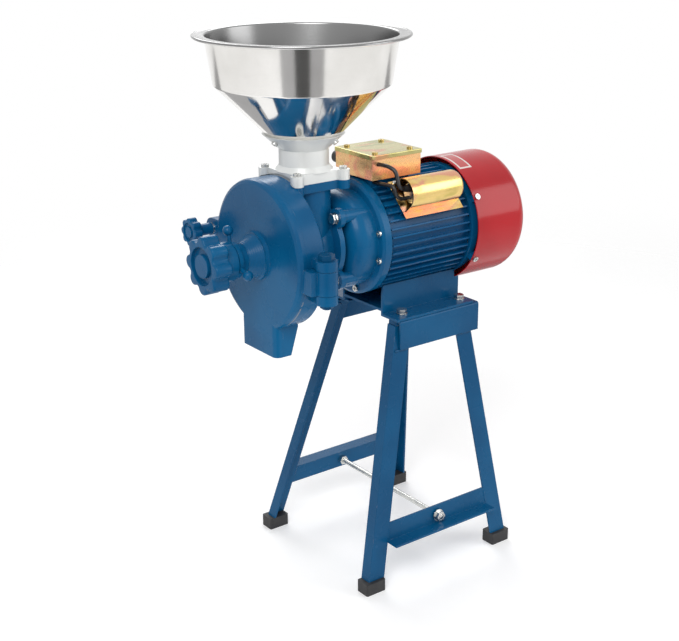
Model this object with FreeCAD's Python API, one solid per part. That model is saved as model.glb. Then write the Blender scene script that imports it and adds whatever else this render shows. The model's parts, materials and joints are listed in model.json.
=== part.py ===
import FreeCAD, Part
import math
import os

os.makedirs("parts", exist_ok=True)

# Electric grain mill: an angle-steel stand, a fan-cooled motor on a saddle, a disc grinder
# bolted to the motor's front shield, and a hopper on a feed neck.
# X runs along the motor axis with the grinding head at -X, Z is up, the floor is Z = 0.

V = FreeCAD.Vector

# Fits and small gaps
RUN_FIT = 0.05
SEAT_GAP = 0.3
LOOSE_GAP = 1.6
FACE_GAP = 0.5

# Stand
RAIL_TOP_Z = 382.0
RAIL_X0 = 19.0
RAIL_PAST_SADDLE = 10.0
RAIL_OUT_Y = 82.0
RAIL_DEEP = 44.0
RAIL_HIGH = 43.0
RAIL_WALL = 3.0
RAIL_BEND = 4.0
LEG_WIDE = 28.0
LEG_SIDE = 18.0
LEG_WALL = 3.0
LEG_SPLAY_Y = 54.0
LEG_TOP_DROP = 6.0
FRONT_LEG_TOP_X = 33.0
FRONT_LEG_LEAN = 98.0
REAR_LEG_INSET = 30.0
REAR_LEG_LEAN = 42.0
BOOT_WALL = 3.0
BOOT_HIGH = 18.0
BOOT_SOLE = 4.0
CROSSBAR_Z = 66.0
CROSSBAR_HIGH = 28.0
CROSSBAR_DEEP = 20.0
CROSSBAR_WALL = 3.0
TIE_ROD_X = 62.0
TIE_ROD_R = 4.0
TIE_ROD_PROUD = 10.0
NUT_TILT_GAP = 1.5

# Motor
MOTOR_RISE = 113.0
SADDLE_WALL = 3.5
SADDLE_X0 = 14.0
SADDLE_OVERHANG = 8.0
SADDLE_LEAN = 8.0
SADDLE_LEAN_RISE = 20.0
SADDLE_HALF_WIDE = 47.0
SADDLE_FOOT = 34.0
FOOT_BOLT_R = 4.0
FOOT_BOLT_X0 = 37.0
FOOT_BOLT_INSET = 12.0
SHIELD_R = 83.0
SHIELD_WALL = 8.0
SHIELD_DEEP = 14.0
SHIELD_BOSS_R = 30.0
SHIELD_BOSS_PROUD = 4.0
SHIELD_X = -12.0
BELL_R = 70.0
BELL_WALL = 6.0
BELL_ROUND = 22.0
BELL_MOUTH_R = 44.0
BELL_FRONT_GAP = 8.0
FRAME_LONG = 148.0
FRAME_CORE_R = 75.0
FIN_COUNT = 44
FIN_WALL = 2.4
FIN_TIP_R = 82.0
BORE_FIT_R = 70.0
STATOR_LONG = 88.0
STATOR_BORE_R = 41.0
ROTOR_R = 40.6
WINDING_LONG = 20.0
WINDING_WALL = 18.0
SHAFT_R = 9.5
BEARING_R = 20.0
BEARING_LONG = 12.0
FAN_COVER_R = 92.0
FAN_COVER_WALL = 1.4
FAN_COVER_LONG = 99.0
FAN_COVER_GAP = 4.0
FAN_COVER_ROUND = 18.0
VENT_COUNT = 18
VENT_WIDE = 6.0
VENT_IN_R = 24.0
VENT_OUT_R = 72.0
FAN_R = 74.0
FAN_LONG = 24.0
FAN_BLADES = 9
FAN_BACK_GAP = 24.0

# Terminal box and capacitor
BOX_X0 = -1.0
BOX_LONG = 86.0
BOX_WIDE = 84.0
BOX_HIGH = 35.0
BOX_WALL = 1.5
BOX_PAD = 8.0
BOX_PAD_INSET = 12.0
LID_LIP = 6.0
GLAND_R = 9.0
GLAND_LONG = 16.0
GLAND_CABLE_R = 4.0
GLAND_X = 12.0
SWITCH_X = 50.0
SWITCH_LONG = 28.0
SWITCH_HIGH = 20.0
SWITCH_DEEP = 14.0
SWITCH_FLANGE = 1.6
ROCKER_TILT = 10.0
CAP_ANGLE = 47.0
CAP_X0 = 26.0
CAP_LONG = 105.0
CAP_BASE_WIDE = 60.0
CAP_BASE_WALL = 1.5
CAP_BASE_LIFT = 2.2
CAP_COVER_R = 22.0
CAP_COVER_RISE = 17.0
CAP_CAN_R = 15.2
CAP_CAN_LONG = 70.0
CAP_CAN_INSET = 14.0
LEAD_R = 2.8

# Grinder
SEAM_X = -155.0
COVER_R = 103.4
COVER_DEEP = 12.0
COVER_WALL = 6.0
COVER_ROUND = 6.0
RING_WALL = 9.4
WEB_BITE = 4.0
CHAMBER_DEEP = 29.0
BODY_RING_LONG = 27.0
BODY_BACK_WALL = 8.0
BARREL_R = 40.0
BARREL_BORE_R = 25.0
BODY_REAR_X = -58.0
REAR_FLANGE_R = 56.0
REAR_FLANGE_WALL = 8.0
POST_RING_R = 62.0
POST_R = 9.0
POST_BOLT_R = 4.0
POST_EAR_R = 13.5
SPOUT_HALF_WIDE = 43.0
SPOUT_DROP = 33.6
SPOUT_WALL = 4.0
SPOUT_MOUTH_DEEP = 13.0
SPOUT_CORNER_R = 9.0
DISC_R = 75.0
FIXED_DISC_WALL = 12.0
DISC_GAP = 0.6
TURN_DISC_WALL = 11.0
CARRIER_WALL = 7.0
CARRIER_R = 60.0
CARRIER_HUB_R = 17.0
FURROW_COUNT = 24
FURROW_DEEP = 1.2
FURROW_WIDE = 3.0
AUGER_SHAFT_R = 10.0
AUGER_TAIL_R = 12.0
AUGER_FLIGHT_R = 22.0
AUGER_PITCH = 29.0
AUGER_FLIGHT_WALL = 3.0
SEAL_R = 20.0
SEAL_LONG = 7.0
COUPLING_R = 19.0
COUPLING_LONG = 32.0
COUPLING_FRONT_GAP = 4.0
DOG_HALF = 3.0
DOG_REACH = 15.5
SPRING_R = 5.2
SPRING_WIRE_R = 0.7
SPRING_TURNS = 5
BALL_R = 5.0
BOSS_RING_R = 34.0
BOSS_RING_DEEP = 5.0
BOSS_BASE_R = 30.0
BOSS_TIP_R = 21.0
BOSS_CONE_LONG = 19.0
BOSS_NECK_R = 20.0
BOSS_NECK_LONG = 11.0
SCREW_R = 12.0
PAD_R = 9.0
PAD_WALL = 5.0
PAD_STEM_R = 4.0
PAD_STEM_LONG = 8.0
LOCK_NUT_R = 25.0
LOCK_NUT_LONG = 6.0
LEVER_R = 3.0
LEVER_REACH = 40.0
LEVER_BALL_R = 7.0
LEVER_FIRST_DEG = 78.0
LEVER_COUNT = 3
KNOB_HUB_R = 27.0
KNOB_HUB_LONG = 18.0
KNOB_GAP = 2.0
KNOB_TIP_R = 40.0
KNOB_LONG = 25.0
KNOB_LOBES = 8
KNOB_LOBE_R = 9.0
KNOB_VALLEY_R = 7.0
KNOB_ROUND = 3.0
KNOB_RECESS_R = 26.0
KNOB_RECESS_DEEP = 6.0
KNOB_BUTTON_R = 16.0
HINGE_PROUD = 17.6
HINGE_X = -138.0
KNUCKLE_R = 15.0
KNUCKLE_MID_LONG = 32.0
KNUCKLE_END_LONG = 13.0
HINGE_DROP = 13.0
HINGE_PIN_R = 6.0
CLAMP_PROUD = 14.6
CLAMP_RISE = 12.0
CLAMP_EAR_R = 15.0
CLAMP_EAR_WALL = 9.0
CLAMP_BODY_EAR = 24.0
CLAMP_STUD_R = 4.0
CLAMP_ENGAGE = 12.0
CLAMP_HUB_R = 8.5
CLAMP_HUB_LONG = 24.0
CLAMP_TIP_R = 20.0
CLAMP_LONG = 13.0
CLAMP_LOBE_R = 5.2
CLAMP_VALLEY_R = 3.6

# Feed neck and hopper
FEED_X = -86.0
FEED_PLATE_SINK = 20.4
FEED_PLATE_WALL = 12.0
FEED_BOLT_HALF = 38.0
FEED_CORNER_R = 9.0
THROAT_R = 36.0
THROAT_BORE_R = 19.0
NECK_FLANGE_WALL = 14.0
NECK_R = 34.0
NECK_BORE_R = 28.0
NECK_HIGH = 28.0
CUP_TOP_R = 56.0
CUP_HIGH = 20.0
CUP_WALL = 4.0
HOPPER_WALL = 1.2
HOPPER_OUTLET_R = 31.0
HOPPER_CONE_TOP_R = 119.0
HOPPER_CONE_HIGH = 66.0
HOPPER_BAND_TOP_R = 129.0
HOPPER_BAND_HIGH = 65.0
HOPPER_RIM_R = 145.0
HOPPER_BEAD_R = 2.0

# Screws, bolts and small lengths
WASHER_WALL = 1.6
BOLT_HEAD_LONG = 5.5
FOOT_NUT_LONG = 6.0
FOOT_SHANK_PROUD = 8.0
SHIELD_SCREW_R = 2.5
SHIELD_SCREW_HEAD_R = 4.6
SHIELD_SCREW_HEAD = 3.2
FAN_SCREW_R = 2.0
FAN_SCREW_HEAD_R = 4.4
FAN_SCREW_HEAD = 2.6
FAN_SCREW_LONG = 8.0
FAN_LUG_HALF = 5.0
LID_SCREW_R = 2.0
LID_SCREW_HEAD_R = 4.2
LID_SCREW_HEAD = 2.4
LID_SCREW_LONG = 9.0
LID_SCREW_IN_X = 12.0
LID_SCREW_IN_Y = 10.0
CAP_SCREW_R = 1.8
CAP_SCREW_HEAD_R = 3.4
CAP_SCREW_HEAD = 2.2
CAP_SCREW_LONG = 6.0
CAP_SCREW_INSET = 9.0
DISC_BOLT_R = 3.0
DISC_SCREW_HEAD_R = 5.4
DISC_SCREW_HEAD = 2.8
DISC_SCREW_LONG = 9.0
DISC_SCREW_SINK = 3.0
NECK_SCREW_R = 3.0
NECK_SCREW_HEAD_R = 5.5
NECK_SCREW_HEAD = 3.6
CUP_SCREW_R = 2.0
CUP_SCREW_HEAD_R = 4.4
CUP_SCREW_HEAD = 3.0
CUP_SCREW_PAST = 4.5
CUP_SCREW_HOLE = 14.0
CUP_SCREW_HOLE_IN = 10.0
CUP_FLOOR_RISE = 1.5
DOG_LONG = 6.0
DOG_INSET = 4.0
FLIGHT_START_GAP = 6.0
FLIGHT_END_GAP = 10.0
LEAD_RUN = 15.0
LEAD_LOOP = 26.0
LEAD_REACH = 22.0
ROCKER_PIN_R = 1.5
ROCKER_PIN_PROUD = 1.2
ROCKER_PIVOT_IN = 2.0

# Places worked out from the sizes above
AXIS_Z = RAIL_TOP_Z + MOTOR_RISE
CHAMBER_R = COVER_R - RING_WALL
HINGE_Y = -(COVER_R + HINGE_PROUD)
CLAMP_Y = COVER_R + CLAMP_PROUD
SPOUT_BOTTOM_Z = AXIS_Z - COVER_R - SPOUT_DROP
FEED_PLATE_Z = AXIS_Z + COVER_R - FEED_PLATE_SINK
COVER_X = SEAM_X - COVER_DEEP
COVER_INNER_X = COVER_X + COVER_WALL
CHAMBER_BACK_X = SEAM_X + CHAMBER_DEEP
BODY_BACK_X = CHAMBER_BACK_X + BODY_BACK_WALL
REAR_WALL_X = BODY_REAR_X - REAR_FLANGE_WALL
FIXED_DISC_X = CHAMBER_BACK_X - FIXED_DISC_WALL
TURN_DISC_BACK_X = FIXED_DISC_X - DISC_GAP
TURN_DISC_X = TURN_DISC_BACK_X - TURN_DISC_WALL
CARRIER_X = TURN_DISC_X - CARRIER_WALL
AUGER_TIP_X = CARRIER_X - 1.0
BALL_X = AUGER_TIP_X + 1.0
PAD_FACE_X = BALL_X - BALL_R - SEAT_GAP
PAD_BACK_X = PAD_FACE_X - PAD_WALL
BOSS_RING_X = COVER_X - BOSS_RING_DEEP
BOSS_CONE_X = BOSS_RING_X - BOSS_CONE_LONG
BOSS_TIP_X = BOSS_CONE_X - BOSS_NECK_LONG
LOCK_NUT_X = BOSS_TIP_X - LOCK_NUT_LONG
HUB_X1 = LOCK_NUT_X - KNOB_GAP
HUB_X0 = HUB_X1 - KNOB_HUB_LONG
KNOB_X0 = HUB_X0 - KNOB_LONG
COUPLING_X0 = BODY_REAR_X + COUPLING_FRONT_GAP
COUPLING_X1 = COUPLING_X0 + COUPLING_LONG
SHAFT_X0 = COUPLING_X1 - 14.0
AUGER_END_X = SHAFT_X0 - 4.0
SPRING_POCKET_X = AUGER_END_X - 12.0
FRAME_X0 = SHIELD_X + SHIELD_DEEP
FRAME_X1 = FRAME_X0 + FRAME_LONG
SADDLE_X1 = FRAME_X1 + SADDLE_OVERHANG
FOOT_BOLT_X1 = SADDLE_X1 - FOOT_BOLT_INSET
RAIL_X1 = SADDLE_X1 + RAIL_PAST_SADDLE
REAR_LEG_TOP_X = RAIL_X1 - REAR_LEG_INSET
REAR_SHIELD_X1 = FRAME_X1 + SHIELD_DEEP
FAN_COVER_X0 = FRAME_X1 + FAN_COVER_GAP
FAN_COVER_X1 = FAN_COVER_X0 + FAN_COVER_LONG
FAN_X0 = FAN_COVER_X1 - FAN_BACK_GAP - FAN_LONG
SHAFT_X1 = FAN_X0 + FAN_LONG
STATOR_X0 = FRAME_X0 + (FRAME_LONG - STATOR_LONG) / 2.0
STATOR_X1 = STATOR_X0 + STATOR_LONG
BOX_X1 = BOX_X0 + BOX_LONG
BOX_BOTTOM_Z = AXIS_Z + SHIELD_R + FACE_GAP + 2.0
BOX_TOP_Z = BOX_BOTTOM_Z + BOX_HIGH
FEED_PLATE_TOP_Z = FEED_PLATE_Z + FEED_PLATE_WALL
NECK_FLANGE_TOP_Z = FEED_PLATE_TOP_Z + NECK_FLANGE_WALL
CUP_Z = NECK_FLANGE_TOP_Z + NECK_HIGH
CUP_TOP_Z = CUP_Z + CUP_HIGH
HOPPER_CONE_TOP_Z = CUP_TOP_Z + HOPPER_CONE_HIGH
HINGE_Z = AXIS_Z - HINGE_DROP
CLAMP_Z = AXIS_Z + CLAMP_RISE


def block(x0, x1, y0, y1, z0, z1):
    """A box between two corners."""
    return Part.makeBox(x1 - x0, y1 - y0, z1 - z0, V(x0, y0, z0))


def rod(start, along, long, radius):
    """A round bar from a point, in a direction."""
    return Part.makeCylinder(radius, long, V(*start), V(*along))


def rod_x(x0, x1, radius, y=0.0, z=AXIS_Z):
    """A round bar along X between two places."""
    return rod((x0, y, z), (1, 0, 0), x1 - x0, radius)


def tube_x(x0, x1, outer, inner, y=0.0, z=AXIS_Z):
    """A round sleeve along X."""
    return rod_x(x0, x1, outer, y, z).cut(rod_x(x0, x1, inner, y, z))


def turned_x(points):
    """A body of revolution about the motor axis, from its (x, radius) outline."""
    wire = Part.makePolygon([V(x, 0, AXIS_Z + r) for x, r in points + points[:1]])
    return Part.Face(wire).revolve(V(0, 0, AXIS_Z), V(1, 0, 0), 360)


def turned_z(points, x):
    """A body of revolution about an upright axis, from its (radius, z) outline."""
    wire = Part.makePolygon([V(x + r, 0, z) for r, z in points + points[:1]])
    return Part.Face(wire).revolve(V(x, 0, 0), V(0, 0, 1), 360)


def prism(points, along):
    """A flat outline carried along a vector."""
    return Part.Face(Part.makePolygon([V(*p) for p in points + points[:1]])).extrude(V(*along))


def hexagon(centre, along, across, long):
    """A hexagonal prism: its across-flats size, and its length in a direction."""
    axis = V(*along)
    axis.normalize()
    side = V(0, 0, 1) if abs(axis.z) < 0.9 else V(1, 0, 0)
    side = side.cross(axis)
    side.normalize()
    other = axis.cross(side)
    reach = across / math.sqrt(3.0)
    corners = []
    for k in range(6):
        turn = math.radians(60.0 * k)
        corners.append(V(*centre) + side * (reach * math.cos(turn)) + other * (reach * math.sin(turn)))
    return Part.Face(Part.makePolygon(corners + corners[:1])).extrude(axis * long)


def on_ring(radius, degrees):
    """A (y, z) place on a ring about the motor axis; 0 is +Y and 90 is up."""
    turn = math.radians(degrees)
    return radius * math.cos(turn), AXIS_Z + radius * math.sin(turn)


def ring_holes(x0, x1, radius, ring, degrees):
    """Round bars along X at each angle of a ring, for holes or for screws."""
    bars = []
    for turn in degrees:
        y, z = on_ring(ring, turn)
        bars.append(rod_x(x0, x1, radius, y, z))
    return bars


def pan_screw(seat, outward, head_r, head_long, shank_r, shank_long):
    """A pan-head screw with a cross recess: its head stands outward of its seat."""
    axis = V(*outward)
    axis.normalize()
    place = V(*seat)
    head = Part.makeCylinder(head_r, head_long, place, axis)
    shank = Part.makeCylinder(shank_r, shank_long, place - axis * shank_long, axis)
    screw = head.fuse(shank).removeSplitter()
    side = V(0, 0, 1) if abs(axis.z) < 0.9 else V(1, 0, 0)
    side = side.cross(axis)
    side.normalize()
    other = axis.cross(side)
    slot_half = head_r * 0.16
    slot_reach = head_r * 0.62
    for a, b in ((side, other), (other, side)):
        start = place + axis * (head_long * 0.5) - a * slot_reach - b * slot_half
        corners = [start, start + a * (2 * slot_reach)]
        corners = corners + [corners[1] + b * (2 * slot_half), start + b * (2 * slot_half)]
        recess = Part.Face(Part.makePolygon(corners + corners[:1])).extrude(axis * head_long)
        screw = screw.cut(recess)
    return screw


def save(shape, name):
    """Write one node, after a look at whether its solids are sound."""
    if not shape.isValid():
        print("not sound:", name)
    shape.exportStep("parts/" + name + ".step")


def group(solids):
    """Separate like solids that share a node."""
    return Part.makeCompound(solids)


def mirrored(shape):
    """The same piece on the far side."""
    return shape.mirror(V(0, 0, 0), V(0, 1, 0))


# Stand: each leg is an unequal angle that leans along X and splays along Y

def leg_place(top_x, lean, z):
    """The outer corner line of a near-side leg at a height: its x and y."""
    share = (RAIL_TOP_Z - z) / RAIL_TOP_Z
    rail_foot_z = RAIL_TOP_Z - RAIL_HIGH
    splay = LEG_SPLAY_Y * (rail_foot_z - z) / rail_foot_z
    return top_x + lean * share, -(RAIL_OUT_Y - RAIL_WALL) - splay


def leg_outline(top_x, lean, side, z):
    """The angle's level section; side is -1 where its short flange is on the -X edge."""
    x, y = leg_place(top_x, lean, z)
    half = LEG_WIDE / 2.0
    edge = x + side * half
    inner = edge - side * LEG_WALL
    far = x - side * half
    return [V(edge, y, z), V(far, y, z), V(far, y + LEG_WALL, z), V(inner, y + LEG_WALL, z),
            V(inner, y + LEG_SIDE, z), V(edge, y + LEG_SIDE, z)]


def make_leg(top_x, lean, side):
    """A near-side leg from inside its boot up behind the rail's face."""
    sections = []
    for z in (BOOT_SOLE, RAIL_TOP_Z - RAIL_WALL - LEG_TOP_DROP):
        outline = leg_outline(top_x, lean, side, z)
        sections.append(Part.makePolygon(outline + outline[:1]))
    return Part.makeLoft(sections, True, True)


def make_boot(top_x, lean, side):
    """A rubber boot that takes the leg's lower end."""
    x, y = leg_place(top_x, lean, 0.0)
    half = LEG_WIDE / 2.0 + BOOT_WALL
    outer = block(x - half, x + half, y - BOOT_WALL, y + LEG_SIDE + BOOT_WALL, 0.0, BOOT_HIGH)
    outer = outer.makeFillet(BOOT_WALL * 0.8, [e for e in outer.Edges if abs(e.tangentAt(0).z) > 0.9])
    return outer.cut(make_leg(top_x, lean, side))


near_legs = {"front": (FRONT_LEG_TOP_X, -FRONT_LEG_LEAN, -1), "rear": (REAR_LEG_TOP_X, REAR_LEG_LEAN, 1)}
boots = []
for end, (top_x, lean, side) in near_legs.items():
    leg = make_leg(top_x, lean, side)
    save(leg, end + "_near_leg")
    save(mirrored(leg), end + "_far_leg")
    boot = make_boot(top_x, lean, side)
    boots = boots + [boot, mirrored(boot)]
save(group(boots), "rubber_feet")

rail_y0 = -RAIL_OUT_Y
rail_y1 = rail_y0 + RAIL_DEEP
rail = block(RAIL_X0, RAIL_X1, rail_y0, rail_y1, RAIL_TOP_Z - RAIL_HIGH, RAIL_TOP_Z)
rail = rail.makeFillet(RAIL_BEND, [e for e in rail.Edges if abs(e.tangentAt(0).x) > 0.9
                                   and e.CenterOfMass.y < rail_y0 + 1 and e.CenterOfMass.z > RAIL_TOP_Z - 1])
rail = rail.cut(block(RAIL_X0 - 1, RAIL_X1 + 1, rail_y0 + RAIL_WALL, rail_y1 + 1,
                      RAIL_TOP_Z - RAIL_HIGH - 1, RAIL_TOP_Z - RAIL_WALL))
foot_bolt_y = -(SADDLE_HALF_WIDE + SADDLE_FOOT * 0.45)
for x in (FOOT_BOLT_X0, FOOT_BOLT_X1):
    rail = rail.cut(rod((x, foot_bolt_y, RAIL_TOP_Z - RAIL_WALL - 1), (0, 0, 1), RAIL_WALL + 2,
                        FOOT_BOLT_R))
save(rail, "near_rail")
save(mirrored(rail), "far_rail")


def leg_clear(top_x, lean, side):
    """The space between a leg's edges, from outside the stand to inside it, for cutting bars to length."""
    sections = []
    for z in (0.0, RAIL_TOP_Z):
        x, y = leg_place(top_x, lean, z)
        x_in = x - side * LEG_WIDE / 2.0
        x_out = x + side * LEG_WIDE * 2.0
        corners = [V(x_in, y - 2 * CROSSBAR_DEEP, z), V(x_out, y - 2 * CROSSBAR_DEEP, z),
                   V(x_out, y + 2 * LEG_SIDE, z), V(x_in, y + 2 * LEG_SIDE, z)]
        sections.append(Part.makePolygon(corners + corners[:1]))
    return Part.makeLoft(sections, True, True)


def crossbar_seat():
    """Where the tie rod leaves a near crossbar's outer face: y and z."""
    z_mid = CROSSBAR_Z + CROSSBAR_HIGH / 2.0
    return leg_place(0.0, 0.0, z_mid)[1], z_mid


def make_crossbar(flange_low):
    """A near-side angle butted between the legs; its outward flange is at its foot, or at its top."""
    x0 = FRONT_LEG_TOP_X - FRONT_LEG_LEAN
    x1 = REAR_LEG_TOP_X + REAR_LEG_LEAN
    z0 = CROSSBAR_Z
    z1 = CROSSBAR_Z + CROSSBAR_HIGH
    y_high = leg_place(0.0, 0.0, z1)[1]
    y_low = leg_place(0.0, 0.0, z0)[1]
    wall = CROSSBAR_WALL
    upright = prism([(x0, y_low, z0), (x0, y_high, z1), (x0, y_high + wall, z1), (x0, y_low + wall, z0)],
                    (x1 - x0, 0, 0))
    if flange_low:
        shelf = block(x0, x1, y_low - CROSSBAR_DEEP, y_low + wall / 2, z0, z0 + wall)
    else:
        shelf = block(x0, x1, y_high - CROSSBAR_DEEP, y_high + wall / 2, z1 - wall, z1)
    bar = upright.fuse(shelf).removeSplitter()
    for top_x, lean, side in near_legs.values():
        bar = bar.cut(leg_clear(top_x, lean, side))
    y_out, z_mid = crossbar_seat()
    return bar.cut(rod((TIE_ROD_X, y_out - CROSSBAR_DEEP, z_mid), (0, 1, 0), 3 * CROSSBAR_DEEP, TIE_ROD_R))


save(make_crossbar(True), "near_crossbar")
save(mirrored(make_crossbar(False)), "far_crossbar")
seat_y, seat_z = crossbar_seat()
rod_end = abs(seat_y) + TIE_ROD_PROUD
save(rod((TIE_ROD_X, -rod_end, seat_z), (0, 1, 0), 2 * rod_end, TIE_ROD_R), "tie_rod")
nuts = []
for turn in (1, -1):
    nut_y = turn * (abs(seat_y) + NUT_TILT_GAP)
    washer = rod((TIE_ROD_X, nut_y, seat_z), (0, turn, 0), WASHER_WALL, TIE_ROD_R * 2.3)
    nut = hexagon((TIE_ROD_X, nut_y + turn * WASHER_WALL, seat_z), (0, turn, 0), TIE_ROD_R * 3.25,
                  TIE_ROD_R * 1.6)
    inner_y = turn * (abs(seat_y) - CROSSBAR_WALL - NUT_TILT_GAP)
    inner = hexagon((TIE_ROD_X, inner_y, seat_z), (0, -turn, 0), TIE_ROD_R * 3.25, TIE_ROD_R * 1.6)
    for piece in (washer, nut, inner):
        nuts.append(piece.cut(rod((TIE_ROD_X, -rod_end, seat_z), (0, 1, 0), 2 * rod_end, TIE_ROD_R)))
save(group(nuts), "tie_rod_nuts")

# Motor saddle: a folded sheet foot under the frame

saddle_y = SADDLE_HALF_WIDE
foot_y = saddle_y + SADDLE_FOOT
outline = [(SADDLE_X0, -foot_y, RAIL_TOP_Z), (SADDLE_X0, -saddle_y + SADDLE_WALL, RAIL_TOP_Z),
           (SADDLE_X0, -saddle_y + SADDLE_WALL, AXIS_Z), (SADDLE_X0, -saddle_y, AXIS_Z),
           (SADDLE_X0, -saddle_y, RAIL_TOP_Z + SADDLE_WALL), (SADDLE_X0, -foot_y, RAIL_TOP_Z + SADDLE_WALL)]
near_side = prism(outline, (SADDLE_X1 - SADDLE_X0, 0, 0))
web_z = RAIL_TOP_Z + SADDLE_WALL * 2
web = block(SADDLE_X0, SADDLE_X1, -saddle_y + 1, saddle_y - 1, web_z, web_z + SADDLE_WALL)
saddle = near_side.fuse([mirrored(near_side), web]).removeSplitter()
saddle = saddle.cut(rod_x(SADDLE_X0 - 1, SADDLE_X1 + 1, FIN_TIP_R + RUN_FIT))
saddle = saddle.cut(rod_x(FRAME_X1 - FACE_GAP, SADDLE_X1 + 1, FAN_COVER_R + SEAT_GAP))
lean_cut = prism([(SADDLE_X0 - 1, -foot_y - 1, AXIS_Z), (SADDLE_X0 + SADDLE_LEAN, -foot_y - 1, AXIS_Z),
                  (SADDLE_X0 - 1, -foot_y - 1, RAIL_TOP_Z + SADDLE_LEAN_RISE)], (0, 2 * foot_y + 2, 0))
saddle = saddle.cut(lean_cut)
foot_bolts = []
for sign in (-1, 1):
    for x in (FOOT_BOLT_X0, FOOT_BOLT_X1):
        y = -sign * foot_bolt_y
        saddle = saddle.cut(rod((x, y, RAIL_TOP_Z - 1), (0, 0, 1), SADDLE_WALL + 2, FOOT_BOLT_R))
        z = RAIL_TOP_Z + SADDLE_WALL
        shank = rod((x, y, RAIL_TOP_Z - RAIL_WALL - FOOT_SHANK_PROUD), (0, 0, 1),
                    FOOT_SHANK_PROUD + RAIL_WALL + SADDLE_WALL, FOOT_BOLT_R)
        bolt = rod((x, y, z), (0, 0, 1), WASHER_WALL, FOOT_BOLT_R * 2.1)
        bolt = bolt.fuse([hexagon((x, y, z + WASHER_WALL), (0, 0, 1), FOOT_BOLT_R * 3.25,
                                  BOLT_HEAD_LONG), shank])
        foot_bolts.append(bolt.removeSplitter())
        nut = hexagon((x, y, RAIL_TOP_Z - RAIL_WALL), (0, 0, -1), FOOT_BOLT_R * 3.25, FOOT_NUT_LONG)
        foot_bolts.append(nut.cut(shank))
save(saddle, "motor_saddle")
save(group(foot_bolts), "foot_bolts")

# Motor: finned frame, two end shields, stator, rotor, fan and fan cover

shell = rod_x(FRAME_X0, FRAME_X1, FRAME_CORE_R)
fins = []
for k in range(FIN_COUNT):
    turn = 360.0 * k / FIN_COUNT
    fin = block(FRAME_X0 + 3, FRAME_X1 - 3, FRAME_CORE_R - 2, FIN_TIP_R, AXIS_Z - FIN_WALL / 2,
                AXIS_Z + FIN_WALL / 2)
    fin.rotate(V(0, 0, AXIS_Z), V(1, 0, 0), turn)
    fins.append(fin)
pad_half = BOX_WIDE / 2.0 - BOX_PAD_INSET
pad_x0 = FRAME_X0 + 3
pad_x1 = BOX_X1 - BOX_PAD_INSET
box_pad = block(pad_x0, pad_x1, -pad_half, pad_half, AXIS_Z + FRAME_CORE_R - BOX_PAD * 2.5, BOX_BOTTOM_Z)
frame = shell.fuse(fins + [box_pad]).removeSplitter()
frame = frame.cut(rod_x(FRAME_X0 - 1, FRAME_X1 + 1, BORE_FIT_R))
cap_dir = V(0, -math.sin(math.radians(CAP_ANGLE)), math.cos(math.radians(CAP_ANGLE)))
cap_side = V(0, -math.cos(math.radians(CAP_ANGLE)), -math.sin(math.radians(CAP_ANGLE)))


def cap_point(x, out, across):
    """A place in the capacitor's leaning frame: out from the motor axis, and across it downwards."""
    return V(x, 0, AXIS_Z) + cap_dir * out + cap_side * across


def cap_block(x0, x1, out0, out1, across0, across1):
    """A box in the capacitor's leaning frame."""
    corners = [cap_point(x0, out0, across0), cap_point(x0, out1, across0),
               cap_point(x0, out1, across1), cap_point(x0, out0, across1)]
    return Part.Face(Part.makePolygon(corners + corners[:1])).extrude(V(x1 - x0, 0, 0))


cap_base_out = FIN_TIP_R + CAP_BASE_LIFT
cap_tab = 10.0
cap_x1 = CAP_X0 + CAP_LONG
frame = frame.fuse([cap_block(x, x + cap_tab, FRAME_CORE_R - 3, cap_base_out, -CAP_BASE_WIDE * 0.3,
                              CAP_BASE_WIDE * 0.3) for x in (CAP_X0 + 4,
                                                             cap_x1 - 4 - cap_tab)]).removeSplitter()


def make_shield(x_seam, sense):
    """An end shield: a dished plate outward of the seam, with a spigot, a bearing seat and a boss."""
    face = x_seam + sense * SHIELD_DEEP
    inner = face - sense * SHIELD_WALL
    boss = face + sense * SHIELD_BOSS_PROUD
    seat = boss - sense * (BEARING_LONG + 3)
    hub = inner - sense * 6
    return turned_x([(x_seam, BORE_FIT_R), (x_seam, SHIELD_R), (face - sense * 3, SHIELD_R),
                     (face, SHIELD_R - 4), (face, SHIELD_BOSS_R + 3), (boss, SHIELD_BOSS_R), (boss,
                                                                                              SHAFT_R + 2),
                     (boss - sense * 3, SHAFT_R + 2), (boss - sense * 3, BEARING_R), (seat, BEARING_R),
                     (hub, BEARING_R), (hub, SHIELD_BOSS_R), (inner, SHIELD_BOSS_R), (inner,
                                                                                      BORE_FIT_R - 4),
                     (x_seam, BORE_FIT_R - 4), (x_seam - sense * 4,
                                                BORE_FIT_R - 4), (x_seam - sense * 4, BORE_FIT_R)])


front_shield = make_shield(FRAME_X0, -1)
post_turns = (45.0, 135.0, 225.0, 315.0)
posts = ring_holes(BODY_REAR_X, SHIELD_X + SHIELD_WALL, POST_R, POST_RING_R, post_turns)
bell_x0 = BODY_REAR_X + BELL_FRONT_GAP
bell = rod_x(bell_x0, SHIELD_X + 1, BELL_R)
bell = bell.makeFillet(BELL_ROUND,
                       [e for e in bell.Edges if e.CenterOfMass.x < bell_x0 + 1 and len(e.Vertexes) == 1])
bell_hollow = rod_x(bell_x0 + BELL_WALL, SHIELD_X + 2, BELL_R - BELL_WALL)
bell_hollow = bell_hollow.makeFillet(BELL_ROUND - BELL_WALL,
                                     [e for e in bell_hollow.Edges
                                      if e.CenterOfMass.x < bell_x0 + BELL_WALL + 1 and len(e.Vertexes) == 1])
bell = bell.cut(bell_hollow).cut(rod_x(bell_x0 - 1, SHIELD_X + 2, BELL_MOUTH_R))
front_shield = front_shield.fuse([bell] + posts).removeSplitter()
front_shield = front_shield.cut(group(ring_holes(BODY_REAR_X - 1, SHIELD_X - 8, POST_BOLT_R,
                                                 POST_RING_R, post_turns)))
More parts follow.
